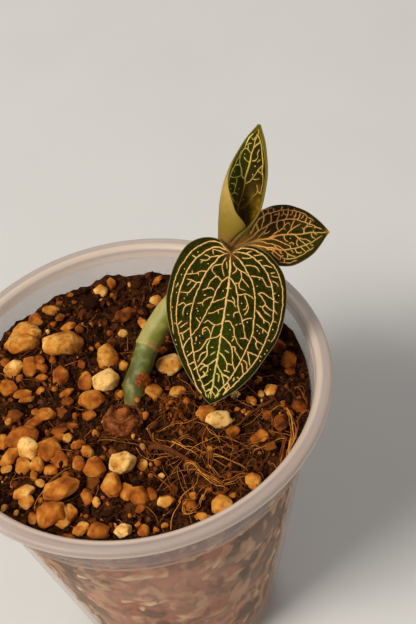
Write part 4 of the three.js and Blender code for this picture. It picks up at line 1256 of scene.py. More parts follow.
def makeDryScale(look):  # a torn, dry scale that clings to the stem's front
    rows, columns = dryScale["rows"], dryScale["columns"]
    inner, outer = np.zeros((2, rows, columns, 3))
    toRight, toBack = np.array(view["right"]), np.array(view["ahead"])
    for r in range(rows):
        for c in range(columns):
            run, turn = r / (rows - 1), dryScale["start"] + dryScale["sweep"] * c / (columns - 1)
            torn = wobble(turn * 2.2, 0.6 if run > 0.5 else 4.7, 2)
            part = dryScale["middle"] + (run - 0.5) * (dryScale["length"] + 0.04 * torn) - 0.006 * turn
            centre, ahead = onStem(part)
            side = toRight - ahead * (toRight @ ahead)
            side /= np.linalg.norm(side)
            front = np.cross(ahead, side)
            if front @ toBack > 0:
                front = -front
            outward = math.cos(turn) * front + math.sin(turn) * side
            lift = 0.12 + 0.8 * eased(turn, 0.9, 1.8) + 0.35 * eased(run, 0.6, 1) * abs(torn)
            lift += 0.12 * wobble(turn * 3, run * 3, 9)
            inner[r, c] = centre + outward * (stemRadius(part) + lift - dryScale["thickness"])
            outer[r, c] = centre + outward * (stemRadius(part) + lift)
    piece = newPiece("dryScale", *doubleFaced(outer, inner), look)
    placeClosed(piece, "stem_skin")


makeStem()
sheathLook = collarMaterial()
makeCollars(sheathLook)
makeDryScale(sheathLook)
print("stem")


# leaves, each in its own directions: along it, across it and out of its upper face

frontLeaf = {
    "base": (28, 7.4, 109.7), "tip": (15.7, -12.8, 87), "facing": (-0.07, -0.68, 0.73),
    "rightEdge": [(-0.6 , 0), (-0.9, 0.5), (-2.3, 3.2), (-2, 6), (-0.3, 9), (2.9, 11.9), (7.4, 13.2),
                  (13, 13.3), (17.2, 12.5), (21.7, 10.3), (25.2, 8.4), (28.9, 5.5), (31.3, 2.7),
                  (32.5, 1.1), (33.2, -0.1)],
    "leftEdge": [(-0.6 , 0), (-1, -0.8), (-2.8, -3), (-2.8, -6.3), (-0.9, -9.5), (3.3, -11.6), (8.2, -12.5),
                 (12.5, -12.5), (17.6, -11.2), (22.3, -8.9), (26.2, -6.6), (30.2, -3.3), (32.4, -1.1),
                 (33.2, -0.1)],
    "middle": [(-0.6, 0), (12.5, 0.5), (33.2, -0.1)],
    "crowding": 1.7, "dome": 0.009, "tipFall": 0.0026, "crest": 6, "groove": 0.4, "grooveWidth": 1.6,
    "wave": 0.25, "thickness": 0.6, "rows": 150, "columns": 124, "cellDepth": 0.16, "ridge": 0.03,
}
sideLeaf = {
    "base": (30.3, 12.1, 106.1), "tip": (51.4, 12.5, 103.7), "facing": (0.17, -0.35, 0.92),
    "rightEdge": [(-1.2 , 0.5), (-1, 1.7), (0.2, 3), (2.2, 4.9), (5, 7), (8.5, 8.9), (11, 9.5), (13.9, 9),
                  (15.9, 7.8), (17.8, 6.3), (19.5, 4.1), (20.8, 1.9), (21.6, 0.5)],
    "leftEdge": [(-1.2 , 0.5), (-0.6, -0.7), (1, -1.7), (3.2, -3.1), (5.7, -4.7), (8.6, -5.9), (11, -6.2),
                 (13.5, -5.6), (16.3, -4.3), (18.7, -2.3), (20.6, -0.3), (21.6, 0.5)],
    "middle": [(-1.2, 0.5), (9.3, 1.1), (21.6, 0.5)],
    "crowding": 1.15, "dome": 0.012, "tipFall": 0.006, "crest": 8, "groove": 0.4, "grooveWidth": 1.6,
    "wave": 0.3, "thickness": 0.6, "rows": 120, "columns": 100, "cellDepth": 0.14, "ridge": 0.03,
}
stalks = {
    "front": {"from": 0.92, "bend": (26.4, 8.6, 106), "radii": (1.15, 0.7), "reach": 1.6, "under": 1.2},
    "side": {"from": 0.95, "bend": (28.8, 13, 104.6), "radii": (1.1, 0.7), "reach": 3, "under": 1},
}
# veins: points along and across the leaf, and each vein's half width at its start and end
frontMain = [
    ([(-0.1, 0), (1, 0), (2.9, 0.2), (4.7, 0.3), (7.1, 0.4), (9.3, 0.3), (12.8, 0.3), (15.7, 0.2),
      (17.7, 0.2), (21, 0.2), (24.6, 0.1), (27, -0.1), (28.9, 0), (30, -0.2), (30.9, -0.5)], 0.24, 0.16),
    ([(-0.2, -0.3), (-1.1, -1.4), (-2.1, -2.7), (-2.2, -4.1), (-1.9, -5.3), (-1.2, -6.4), (-0.5, -7.4),
      (0.6, -8.5), (2, -9.3), (3.5, -10.1), (5.2, -10.8), (8.6, -11.4), (12.3, -11.5), (14.9, -11),
      (18.8, -10)], 0.15, 0.08),
    ([(-0.2, -0.2), (-0.8, -1.5), (-1.1, -3), (-0.8, -4.2), (0.1, -5.5), (1.2, -6.6), (2.2, -7.5),
      (3.8, -8.4), (5.3, -9), (8.2, -9.7), (11.8, -10.1), (15.6, -9.8), (16.9, -9.4), (21.6, -7.6),
      (26.8, -4.9), (29.9, -3.2), (30.9, -2.2)], 0.16, 0.1),
    ([(-0.1, -0.1), (0.1, -1.2), (0.6, -2.1), (1.4, -2.7), (2.5, -3.4), (4.5, -4.7), (6.9, -5.5),
      (9.8, -6.3), (13.2, -6.8), (16.7, -6.6), (20.4, -5.7), (25.6, -4), (27.6, -3), (30.3, -1.6),
      (31.6, -1)], 0.16, 0.1),
    ([(4.9, 0.2), (5.6, -0.6), (6.3, -1.2), (8.5, -2.1), (10.9, -2.7), (13.2, -3.6), (15.7, -4.5),
      (17.2, -5.2), (18.7, -6.2)], 0.15, 0.09),
    ([(-0.2, 0.3), (-1, 1.1), (-1.5, 2.2), (-1.6, 4.6), (-0.9, 6.5), (0.4, 8.4), (2.3, 10.3), (5.1, 11.7),
      (8, 12.4), (11.2, 12.6), (12.9, 12.5), (16.5, 11.9), (17.8, 11.2)], 0.14, 0.08),
    ([(-0.2, 0.2), (-0.5, 1.1), (-0.5, 3.2), (0.3, 5.1), (1.7, 7), (3.4, 8.5), (5.9, 9.7), (8.8, 10.5),
      (12.5, 10.9), (14.3, 10.7), (18.7, 9.7), (23.1, 8), (25.5, 6.3), (28.1, 4.5), (29.9, 3), (30.6, 2.4)],
      0.16, 0.1),
    ([(-0.1, 0.1), (0.2, 0.8), (1.6, 2.6), (3.8, 4.3), (5.7, 5.5), (9.3, 6.5), (13.2, 6.8), (16.6, 6.9),
      (20.5, 5.9), (25.2, 4.2), (27.8, 2.9), (29.9, 1.5), (31.6, 0.7)], 0.16, 0.1),
    ([(5, 0.4), (6.1, 1.5), (8.3, 2.5), (11.2, 3.1), (14, 4.4), (17.3, 5.5), (18.2, 6.4)], 0.15, 0.09),
]
frontTwigs = [
    [(0, -1.3), (-0.3, -2.3), (-0.5, -4)], [(-0.5, -4), (0.6, -3.7)],
    [(0.7, -2.3), (1.3, -4.3), (2, -4.9), (2.1, -6.4)], [(2.1, -5.8), (2.8, -6.2)],
    [(1.3, -4.3), (0.9, -5.1), (1, -5.6)], [(4.4, -4.7), (4.5, -5.8), (5.1, -7.1), (5.6, -8.8)],
    [(4.8, -6.5), (5.5, -6.3)], [(5.2, -7.7), (4.6, -7.8)],
    [(6.9, -5.5), (7, -6.8), (6.7, -7.6), (6.6, -8.7)], [(7.1, -6.5), (8.3, -7.1), (9.4, -8.1), (9.6, -9.8)],
    [(6.9, -7.7), (8, -8.4)], [(11.6, -6.7), (12.3, -8.1), (13.6, -8.6), (14.6, -8.5)],
    [(12.3, -8.1), (11.8, -8.8), (12.6, -9.9)], [(7.7, -10.4), (8.7, -10.9)], [(1.8, -7.3), (1.4, -8.2)],
    [(6.1, -1.2), (5.2, -2.2), (6.3, -3.6), (8, -4.2), (8.5, -5.1)], [(8, -4.2), (7.8, -3.3), (8.2, -2.6)],
    [(9.7, -2.6), (10.1, -3.8), (11.2, -4.7), (11.9, -4.4)], [(11.2, -4.7), (11.5, -5.8)],
    [(10.9, -2.6), (10.1, -1), (9.3, 0.2)], [(11.8, 0.2), (12.5, -1.4), (13.1, -2.2), (13.3, -3.2)],
    [(12.4, -1.1), (13.1, -0.9)], [(0.9, -0.9), (2.5, -1.6), (3.7, -1.3), (4.9, -0.8)],
    [(2.4, -1.6), (3, -3.2), (4, -3.6), (4.8, -2.7)], [(1.8, -0.7), (3.2, -0.4)],
    [(1.7, 0.7), (2.8, 1.5), (3.3, 2.7), (4.3, 4.7)], [(2.9, 1.6), (3.6, 1.5), (4.2, 0.8)],
    [(3.3, 2.6), (4.8, 3), (6, 2.6), (7, 2.9), (7.4, 4.1)], [(5, 3.1), (5.7, 4), (6.6, 4.8)],
    [(6.1, 1.7), (6, 2.6)], [(8.5, 2.6), (8.1, 4.5), (8.4, 5.3), (9, 6.2)],
    [(8.4, 4.1), (9.9, 4.9), (11.4, 5.3), (12.7, 4.6)], [(10.4, 4.9), (11.2, 4.8), (11.6, 4.2)],
    [(12.1, 3.4), (12.5, 2.5), (13.5, 2.4)], [(9.9, 0.4), (10.2, 1.7), (11.2, 2.6)],
    [(9.1, 1.5), (9.9, 2.1), (10.6, 2.2)], [(7.5, -0.1), (7.3, 0.5), (7.4, 1.1)], [(13.1, 0.9), (13, 1.5)],
    [(2, 3.4), (2, 5.6), (3, 6.6)], [(0.5, 2.5), (0.5, 3.9), (0, 4.7)], [(-0.6, 3.2), (-1.2, 4.4)],
    [(-0.3, 4.9), (-0.7, 6.6)], [(0.7, 6), (0.4, 6.9)], [(1.5, 7.2), (1.5, 8.1), (1.7, 9.2)],
    [(3, 9), (2.7, 9.9)], [(3.5, 9.3), (3.7, 10.3), (3.6, 11)], [(4.6, 9.6), (4.9, 10.5), (5.6, 11.1)],
    [(4.1, 4.9), (4.3, 7.3), (5.8, 8.6), (5.9, 9.6)], [(7.8, 6.9), (7.3, 7.7), (7.9, 8.9), (8.6, 10.4)],
    [(7.8, 7.2), (9.6, 8.8), (10.6, 8.3), (11.4, 9), (12.1, 10.1)], [(9.9, 8.8), (10.6, 9.8), (11.1, 10.9)],
    [(10.5, 8.3), (10.3, 7.5)], [(8.8, 10.6), (9.1, 11.6)], [(10.7, 10.8), (11.6, 11.7)],
    [(7.4, 10.3), (7, 10.7)], [(11.2, 7), (12.5, 8.2), (13.2, 9)],
    [(11.5, 7.5), (13.1, 9), (13.6, 10), (14.4, 10.6)], [(13.1, 8.9), (14, 9.1)],
    [(14.3, 7.4), (14.9, 8.7), (16.2, 10.5)], [(15.3, 9.1), (16.1, 9.1)], [(11.5, 8.9), (12.2, 10.3)],
    [(14, 4.4), (13.4, 5.3), (13.1, 6.4)], [(16.9, 7), (17.9, 8.2), (18.6, 9.8)],
    [(17.8, 8.1), (19.1, 8.1), (19.8, 8.7)], [(20.5, 6.3), (20.8, 7.5), (21.2, 8.8)],
    [(20.7, 6.5), (22.1, 7), (23.5, 7.4)], [(22.4, 5.6), (23, 6.5), (24.5, 6.9)],
    [(23.1, 5.4), (24.4, 5.9), (25.5, 6.2)],
    [(14.6, 0.6), (14.4, 1.5), (15.6, 2.7), (17.4, 3.2), (19.1, 4.2), (20.1, 5.3)],
    [(17.8, 3.1), (18.7, 2.7)], [(17.6, 5.7), (17.8, 4.4)],
    [(17.8, 0.3), (18.5, 1.5), (19.9, 2.8), (21.4, 3.2), (23.4, 3.6), (24.9, 4.2)],
    [(19.9, 2.8), (19.8, 3.5), (20.7, 3.7), (21.8, 4.7), (22.6, 5.2)],
    [(21.5, 0.3), (22.2, 1.4), (23.6, 2.3), (25.1, 2.5)], [(25.2, 1.9), (25.4, 3.2)],
    [(23.6, 2.3), (23.8, 3.6)], [(20.8, 1.5), (21.2, 2.5)],
    [(22.9, 0), (24, -1.2), (24.6, -1.9), (24.5, -3.3), (25.4, -3.9)],
    [(24, 0.2), (25.8, 1.5), (26.3, 2.6), (27.1, 3.3)], [(26, 1.5), (27.3, 2), (28.7, 2.5)],
    [(26.3, 1), (27.8, 1)], [(27.4, -0.1), (28.5, -1), (29.3, -2.3)], [(28.8, 0), (29.4, 0.9), (30.1, 1.4)],
    [(29.8, -0.1), (30.3, -1.5)], [(15.1, 0), (15.6, -1.4), (15.2, -2.3), (14.9, -3.1), (15.5, -3.8)],
    [(15.7, -1.4), (17, -1.8), (18.6, -2)], [(18, -3.7), (16.9, -3.8), (16.4, -3.1), (17.8, -2)],
    [(17.4, 0.2), (18.3, -0.9), (18.9, -2.4), (21.1, -3.6), (22.3, -5.2)],
    [(18.9, -2), (20.5, -2.4), (22.4, -2.2), (24.4, -3.3)], [(21.6, -2.4), (22.3, -3.4), (24.1, -4)],
    [(21.4, -0.5), (22.3, -1.5)], [(20.6, -1.6), (20.5, -1)], [(14.6, -5.6), (15.7, -4.5)],
    [(18.7, -5), (19.7, -5)], [(18.6, -8.8), (18.2, -7.8), (16.9, -6.6)], [(18.5, -8.1), (19.8, -7.7)],
    [(19.1, -6.3), (20.3, -7.1), (21.7, -7.5)], [(17.2, -8.7), (15.9, -7.3)], [(16.7, -9.3), (15.7, -8.5)],
    [(22, -5.3), (23.3, -6.5)], [(24.2, -4.7), (25, -5.9)], [(24.7, -1.6), (25.9, -1.7), (27.6, -2.9)],
    [(24.7, -1.7), (25, -2.7), (25.9, -3.3)], [(16.5, -10.1), (16.5, -9.5)], [(13.2, 11.1), (13.4, 11.8)],
    [(17.4, 10.4), (17.6, 11)], [(21, 9.1), (21.3, 9.6)], [(28.8, 2.3), (29.4, 3)],
    [(27.8, 3.1), (28.9, 3.7)], [(30.2, -0.2), (31.7, -0.1)], [(9.5, -8.3), (10.1, -8.1)],
    [(5, -2.5), (5.3, -2.8)], [(5.6, -1.8), (6, -1.3)], [(15.1, 3), (14.8, 3.4)], [(14.7, 3.8), (14.5, 4.3)],
    [(17.3, -3.7), (17, -3.1)], [(25.3, -4), (26, -4.7)], [(28.1, -3.4), (28.1, -2.9)],
    [(30.4, -1.3), (29.8, -0.7), (29.7, -0.1)], [(30.9, -0.8), (31.7, -0.6)], [(31.2, 1.2), (30.3, 1.6)],
    [(26.7, -2.2), (26.7, -1.4)], [(29.1, -2.4), (29.5, -1.7)], [(26.5, 4.3), (27.2, 4.3)],
    [(30.4, 2.6), (29.3, 3), (28.3, 3.3)], [(17.6, 2.7), (17.6, 3.2)], [(26.3, 4.8), (26.5, 5.4)],
    [(30, -0.2), (30.7, 0.4), (31.3, 1)], [(26.1, 0.3), (26.4, 1), (27.9, 1.1)],
    [(26.7, 3.3), (26.3, 2.5), (26.3, 1.7)], [(26, -2.6), (26.8, -2), (27.6, -3)],
]
frontDots = [
    (0.5, -7.1), (4.5, -9.5), (5.8, -10), (10.2, 3.7), (2.7, -4.6), (9.8, -10.5), (12.6, -5.7), (13.1, -5.4),
    (9.5, -4.3), (14, -7.6), (10.8, -8.7), (20.1, -9.4), (20.2, -5.1), (19.9, -4.1), (22.2, -6.5),
    (19.7, 10.6), (26.4, 5.1), (27.1, 4.2), (14.9, 3.3), (14.1, 5.5), (15.7, 7.9), (16.2, 2), (6.1, 6.5),
    (4.6, 6.8), (7.5, 11.4), (9.5, -4.5), (13.1, -11), (14.8, -11), (14.5, -4.7), (8.1, -0.6), (21, -9.1),
    (18.4, -4.3), (25.4, -1), (25.8, -1.5), (16.2, 8.4), (15, 11.2), (22.1, 9.4), (20.5, 10.2),
]
sideMain = [
    ([(-0.9, 0.6), (1.4, 0.8), (3.5, 1), (4.9, 1.1), (6.5, 1.1), (7.9, 1), (8.7, 1.2), (10, 1.3),
      (11.6, 1.2), (13.3, 0.9), (15, 0.8), (16.8, 0.8), (18.3, 0.7), (19.7, 0.5), (20.6, 0.5)], 0.27, 0.12),
    ([(-0.8, 0.8), (1.8, 1.3), (3.8, 2), (4.7, 2.7), (5.3, 3.1), (6.5, 3.6), (7.8, 4.1), (8.9, 4.6),
      (9.8, 4.7), (10.7, 4.9), (11.7, 4.9), (13.1, 4.9), (14.5, 4.6), (15.5, 4), (16.5, 3.4), (17.3, 2.9),
      (17.9, 2.6), (18.6, 1.9), (19.8, 1.3)], 0.2, 0.1),
    ([(3.6, 2.8), (5.2, 4.8), (5.9, 5.6), (6.6, 6.3), (7.6, 6.8), (8.7, 7.2), (9.6, 7.3), (10.6, 7.5),
      (11.8, 7.6), (13.2, 7.5), (14.3, 7.1), (15.3, 6.7), (16.1, 6.2), (16.8, 5.8), (17.2, 5.1), (17.6, 4.5),
      (18.2, 4), (18.5, 3.4)], 0.18, 0.08),
    ([(7.5, 8.2), (8.2, 8.6), (9.1, 8.6), (9.8, 8.7), (10.4, 8.7)], 0.13, 0.08),
    ([(2.8, 0.8), (4.8, 1.4), (5.9, 2.3), (6.8, 2.9), (7.4, 3.4), (8, 4.1)], 0.14, 0.1),
    ([(7.3, 1.1), (8.2, 1.4), (9.2, 2), (10, 2.3), (10.9, 2.7), (11.6, 3.3), (11.8, 4.4), (11.8, 4.9)],
      0.16, 0.1),
    ([(7.3, 1), (8, 0.8), (8.8, 0.4), (9.7, -0.1), (10.4, -0.8), (11.1, -1.4), (11.5, -1.8), (11.4, -2.4)],
      0.17, 0.1),
    ([(-0.8, 0.5), (2.3, 0.7), (3.5, 0.9), (5.2, 0.8), (6, 0.5), (6.6, 0), (7.4, -0.2), (8.2, -0.7),
      (9.1, -1.4), (9.6, -2), (10, -2.5), (10.3, -3.2), (10.4, -3.6), (11.1, -4.1), (12, -4.3)], 0.17, 0.08),
    ([(-0.8, 0.4), (2.9, 0.3), (4, 0.1), (4.9, -0.3), (5.9, -0.8), (6.7, -1.2), (7.7, -1.5), (8.3, -1.9),
      (9.1, -2.3), (10.4, -2.5), (11.5, -2.5), (12.9, -2.5), (14.2, -2.3), (15.1, -2.1), (16.3, -1.7),
      (17.5, -1.2), (18.6, -0.7), (19.5, -0.3)], 0.2, 0.1),
    ([(6.3, -1.4), (7.3, -1.9), (7.7, -2.3), (8.2, -3.1), (8.7, -3.7), (9.3, -4.4), (10, -4.7), (11.2, -4.8),
      (12.4, -4.7), (13.6, -4.3), (14.7, -3.9), (15.7, -3.4), (16.6, -3)], 0.18, 0.08),
    ([(13.3, 0.9), (13.7, 0.2), (14, -0.4), (14.5, -1.2), (15.1, -2.1), (15.4, -2.8), (15.7, -3.4)],
      0.14, 0.08),
    ([(8.2, -5.1), (9.3, -5.4), (10.3, -5.6), (11, -5.5), (12.1, -5.4)], 0.12, 0.08),
]
sideTwigs = [
    [(8, 8.8), (7.8, 7.7), (7.8, 6.7), (7.5, 5.7), (6.8, 4.7), (6.2, 3.6)],
    [(5.6, 5.2), (5.4, 4.2), (5.4, 3.2)], [(9.1, 8.6), (9.1, 7.9), (8.9, 7.2)], [(10.5, 8.4), (10.4, 7.5)],
    [(12.6, 8.6), (12.2, 7.9), (12, 7.5)], [(13.8, 7.9), (13.5, 7.3)], [(15.1, 7.3), (14.8, 6.8)],
    [(10.1, 6.6), (10.6, 6.7), (11.2, 6.6)], [(12.3, 6.6), (12.7, 6.2), (13, 5.7)],
    [(16.2, 2.2), (17.1, 2.3), (17.8, 2)], [(10.4, -3.4), (11.1, -4), (12, -4.5)],
    [(10.3, 4.7), (9.9, 3.8), (9.9, 2.9), (10, 2.4)], [(11.7, 3.5), (12.4, 3.9), (12.7, 4), (12.8, 3.4)],
    [(11.3, 2.6), (11.6, 2.4)], [(11.6, 1.2), (12.5, 2), (12.9, 2.2), (13.8, 2.5), (14.7, 3), (15.3, 3.2)],
    [(12.8, 2.2), (13, 2.8), (13.7, 3.6), (14.3, 4.5)], [(15.5, 0.9), (15.8, 1.7), (16.6, 2.5), (16.9, 2.9)],
    [(15.8, 1.7), (15.4, 2.2)], [(17.6, 0.7), (17.9, 1.3)], [(6.6, 2.3), (7.3, 2.4), (8, 2.7)],
    [(6.8, 2.8), (6.6, 2.2), (5.9, 2.3)], [(14, 0), (15.1, -0.5), (15.9, -1), (16.5, -1.6)],
    [(13.7, -0.4), (13.2, -1.1), (13.2, -1.7), (13.3, -2.3)],
    [(11, 1.2), (10.8, 0.4), (11.1, -0.3), (11.4, -0.5)],
    [(11.5, -1.2), (12.2, -0.9), (12.4, -1.3), (12.2, -1.6)], [(17.2, 0.6), (17.1, -0.2), (17.6, -0.8)],
    [(17.8, 0.5), (18.2, 0.2), (18.3, 0)], [(16.1, -2.2), (16.6, -2.5)], [(9.4, -4.5), (9.3, -5.4)],
    [(6.7, -1.2), (6.5, -1.6), (7, -1.8), (7.5, -1.4)], [(7.8, -1.5), (7.7, -2.3), (7.1, -2.5)],
    [(7.1, -2.5), (7.4, -3.3), (7.9, -4.1), (8.3, -4.6)], [(8.2, -3.1), (8.6, -4.1), (8.4, -4.6)],
    [(10.4, -3.5), (10.3, -4.1), (10.2, -4.7)],
    [(12.4, -2.6), (12.5, -3.3), (12.8, -3.7), (13.6, -3.8), (13.5, -3.5)], [(11.4, -2.7), (11.8, -3.5)],
    [(13.7, -2.4), (14.2, -3.1), (14.7, -3.9)], [(8.9, -2.9), (9.3, -3.3)],
    [(8.9, -2.1), (9, -2.8), (8.9, -3.1)], [(8.1, -0.7), (8.3, -1.5), (9.1, -2.3)], [(9.4, -3.7), (8.6, -4)],
    [(6, -0.8), (6.3, -1.6)], [(18.6, 1.9), (18, 1.7)],
]
sideRungs = [
    [(5.7, 5), (5.6, 4.1), (5.6, 3.2)], [(7.7, 6.8), (7.4, 5.7), (6.3, 3.8)],
    [(9.5, 7.4), (9.3, 6.1), (8.6, 4.5)], [(11.4, 7.5), (11.2, 6.3), (10.2, 4.8)],
    [(12.6, 7.5), (12.2, 6.6), (11.5, 6)], [(13.6, 7.3), (13.2, 6.2), (12.3, 4.9)],
    [(13.2, 6.2), (12.7, 5.9)], [(14.5, 6.9), (14.2, 6.2), (13.6, 5.8)],
    [(15.3, 6.5), (14.8, 5.5), (13.9, 4.6)], [(14.8, 5.5), (14.3, 5.4)],
    [(16.1, 6), (15.6, 5.1), (14.9, 4.2)], [(16.7, 5.4), (16.3, 4.8), (15.8, 4.6)],
    [(17.2, 4.6), (16.8, 3.9), (16.2, 3.4)], [(17.9, 3.7), (17.5, 3.2), (17.2, 2.8)],
]
sideDots = [(12.1, 0.2), (16.6, -2.5), (8.9, -2.9), (9.1, -2.7), (9.3, -5)]
veinStyle = {
    "tipGain": 0.3, "twig": 0.13, "twigEnd": 0.09, "mesh": 0.22, "wander": 0.045, "sink": 0.25, "dot": 0.15,
}


def leafAxes(leaf):
    along = Vector(leaf["tip"]) - Vector(leaf["base"])
    along.normalize()
    out = Vector(leaf["facing"])
    out -= along * out.dot(along)
    out.normalize()
    return np.array(along), np.array(out.cross(along)), np.array(out)


def leafRise(leaf, x, y, part):
    rise = -leaf["dome"] * y ** 2 - leaf["tipFall"] * (x - leaf["crest"]) ** 2
    rise -= leaf["groove"] * np.exp(-(y / leaf["grooveWidth"]) ** 2)
    return rise + leaf["wave"] * np.sin(9 * part) * (np.abs(y) / 10) ** 3


def partAt(leaf, x):  # how far along the leaf a point is, for the edge's wave
    return np.clip((x + 1) / (leaf["middle"][-1][0] + 1), 0, 1)


def onLeaf(leaf, x, y, lift):  # a point of the leaf's surface, lifted out of it
    along, across, out = leafAxes(leaf)
    height = leafRise(leaf, x, y, partAt(leaf, x)) + leaf["thickness"] / 2 + lift
    return np.array(leaf["base"]) + along * x + across * y + out * height


def wobbles(line, scale, *levels):  # smooth noise along a line, at each level
    return np.array([[wobble(x * scale, y * scale, level) for level in levels] for x, y in line])


def veinLines(main, twigs, style):  # smooth, slightly wandering lines with half widths
    made = []
    for points, wide, narrow in main + [(t, style["twig"], style["twigEnd"]) for t in twigs]:
        line = evenPoints(points, style["mesh"])
        gain = 1 + style["tipGain"] * easing(line[:, 0], 14, 27)
        parts = np.linspace(0, 1, len(line))
        sway = wobbles(line, 0.9, 3, 8)
        shake = wobbles(line, 2.3, 5, 6)
        fixed = np.minimum(1, np.minimum(parts, 1 - parts) * lengths(line)[-1] / 0.6)[:, None]
        line = line + (sway * 3 + shake * 1.6) * style["wander"] * fixed
        beads = wobbles(line, 1.7, 21)[:, 0]
        made.append((line, gain * (wide + (narrow - wide) * parts) * (1 + 0.55 * beads)))
    return made


def finder(points):
    tree = kdtree.KDTree(len(points))
    for i, point in enumerate(points):
        tree.insert(point, i)
    tree.balance()
    return tree


def outlineOf(leaf):
    parts = np.linspace(0, 1, 300)
    return np.vstack([atParts(curveThrough(leaf[edge]), parts) for edge in ("rightEdge", "leftEdge")])


def bladeMaterial(name, look):
    paint = Paint(name)
    vein, edge, glow, root, upper = [
        paint.attribute(name) for name in ("veinGap", "edgeGap", "glow", "root", "upper")]
    grains = paint.cells(0.3)
    mottle = paint.noise(1.7, 3, 0.6)
    fine = paint.noise(0.45, 2, 0.6)
    green = paint.mix(paint.ease(mottle, 0.3, 0.7), look["dark"], look["mid"])
    # painted light: a paler green glow where the glow value is high
    green = paint.mix(glow, green, look["bright"])
    spots = paint.ease(grains, 0.42, 0.1) * 0.55 + paint.ease(fine, 0.5, 0.75) * 0.3
    speck = paint.mix(spots, green, look["speck"])
    besideVein = paint.over(speck, look["beside"], vein, 0.45, 0.12, 0.35)
    rim = paint.over(besideVein, look["margin"], edge, 0.75, 0.45, 0.7)
    rim = paint.over(rim, look["edge"], edge, 0.2, 0.06, 0.85)
    top = paint.mix(root, rim, look["root"])
    back = paint.mix(mottle, look["back"], look["backPale"])
    back = paint.over(back, look["backVein"], vein, 0.55, 0.1, 0.6)
    colour = paint.mix(upper, back, top)
    relief = grains * 0.6 + fine * 0.4
    return paint.finish(colour, 0.8, 0.05, paint.bump(relief, 0.1, 0.7))


def veinMaterial(name, stops):
    return tonedMaterial(name, stops, (0.6, 3, 0.6), 0.22, 0.6, 0.2, (0.04, 0.4))


def bladeGrid(leaf):  # along and across at each grid point, and the part of its length
    middle = curveThrough(leaf["middle"])
    parts = np.linspace(0, 1, leaf["rows"] + 1)
    half = leaf["columns"] // 2
    starts = atParts(middle, parts ** leaf["crowding"])
    grid = np.zeros((leaf["rows"] + 1, leaf["columns"] + 1, 2))
    for edge, sign in (("leftEdge", -1), ("rightEdge", 1)):
        rim = atParts(curveThrough(leaf[edge]), parts)
        for step in range(half + 1):
            share = math.sin(step / half * math.pi / 2) ** 0.9
            grid[:, half + sign * step] = starts + (rim - starts) * share
    return grid, parts


def makeBlade(name, node, leaf, stalk, lines, material, growth):
    along, across, out = leafAxes(leaf)
    grid, parts = bladeGrid(leaf)
    rows, columns = grid.shape[:2]
    x, y = grid[..., 0], grid[..., 1]
    rise = leafRise(leaf, x, y, partAt(leaf, x))
    gaps = []
    for flat in (np.vstack([line for line, _ in lines]), outlineOf(leaf)):
        tree = finder([(px, py, 0) for px, py in flat])
        gaps.append([[tree.find((px, py, 0))[2] for px, py in row] for row in grid])
    veinGap, edgeGap = np.array(gaps)
    relief = leaf["ridge"] * np.exp(-(veinGap / 0.35) ** 2) - leaf["cellDepth"] * easing(veinGap, 0.15, 1.3)
    relief *= np.clip(edgeGap / 0.8, 0, 1)
    thin = leaf["thickness"] / 2 * (0.35 + 0.65 * easing(edgeGap, 0, 0.7))
    flat = np.array(leaf["base"]) + x[..., None] * along + y[..., None] * across
    upper = flat + (rise + thin + relief)[..., None] * out
    lower = flat + (rise - thin + relief * 0.8)[..., None] * out
    points, faces = doubleFaced(upper, lower)
    start = atParts(stemLine, [stalk["from"]])[0]
    meeting = np.array(leaf["base"]) - out * stalk["under"]
    bar = evenPoints([start, stalk["bend"], meeting, meeting + along * stalk["reach"]], 0.3)
    radii = stalk["radii"][0] + (stalk["radii"][1] - stalk["radii"][0]) * np.linspace(0, 1, len(bar))
    radii[-2:] *= (0.8, 0.45)
    stalkPoints, stalkFaces = tube(bar, radii, 32)
    faces += shifted(stalkFaces, len(points))
    fields = {"veinGap": (veinGap, veinGap, 2), "edgeGap": (edgeGap, edgeGap, 2),
              "upper": (np.ones(rows * columns), np.zeros(rows * columns), 1)}
    for key, fill in (("glow", 0), ("root", 1)):
        field = growth[key](x, y)
        fields[key] = (field, field, fill)
    values = {key: np.concatenate([above.ravel(), below.ravel(), np.full(len(stalkPoints), float(fill))])
              for key, (above, below, fill) in fields.items()}
    piece = newPiece(name, np.vstack([points, stalkPoints]), faces, material, values)
    placeClosed(piece, "leaf_blade", node)


def makeVeins(name, leaf, lines, dots, material, tone, fade):
    made = []
    for line, radii in lines:
        lifts = [leaf["ridge"] - veinStyle["sink"] * radius for radius in radii]
        spots = [onLeaf(leaf, px, py, lift) for (px, py), lift in zip(line, lifts)]
        radii = np.array(radii) * (1 - fade * (1 - easing(np.hypot(line[:, 0], line[:, 1]), 0.3, 2.6)))
        radii[0] *= 0.7
        radii[-1] *= 0.5
        made.append((spots, radii, [tone(px, py) for px, py in line]))
    for px, py in dots:
        ends = [(px - 0.12, py - 0.05), (px, py), (px + 0.14, py + 0.06)]
        spots = [onLeaf(leaf, a, b, -0.02) for a, b in ends]
        made.append((spots, np.array([0.5, 1, 0.5]) * veinStyle["dot"], [tone(px, py)] * 3))
    place(strands(name, made, material), "leaf_blade")


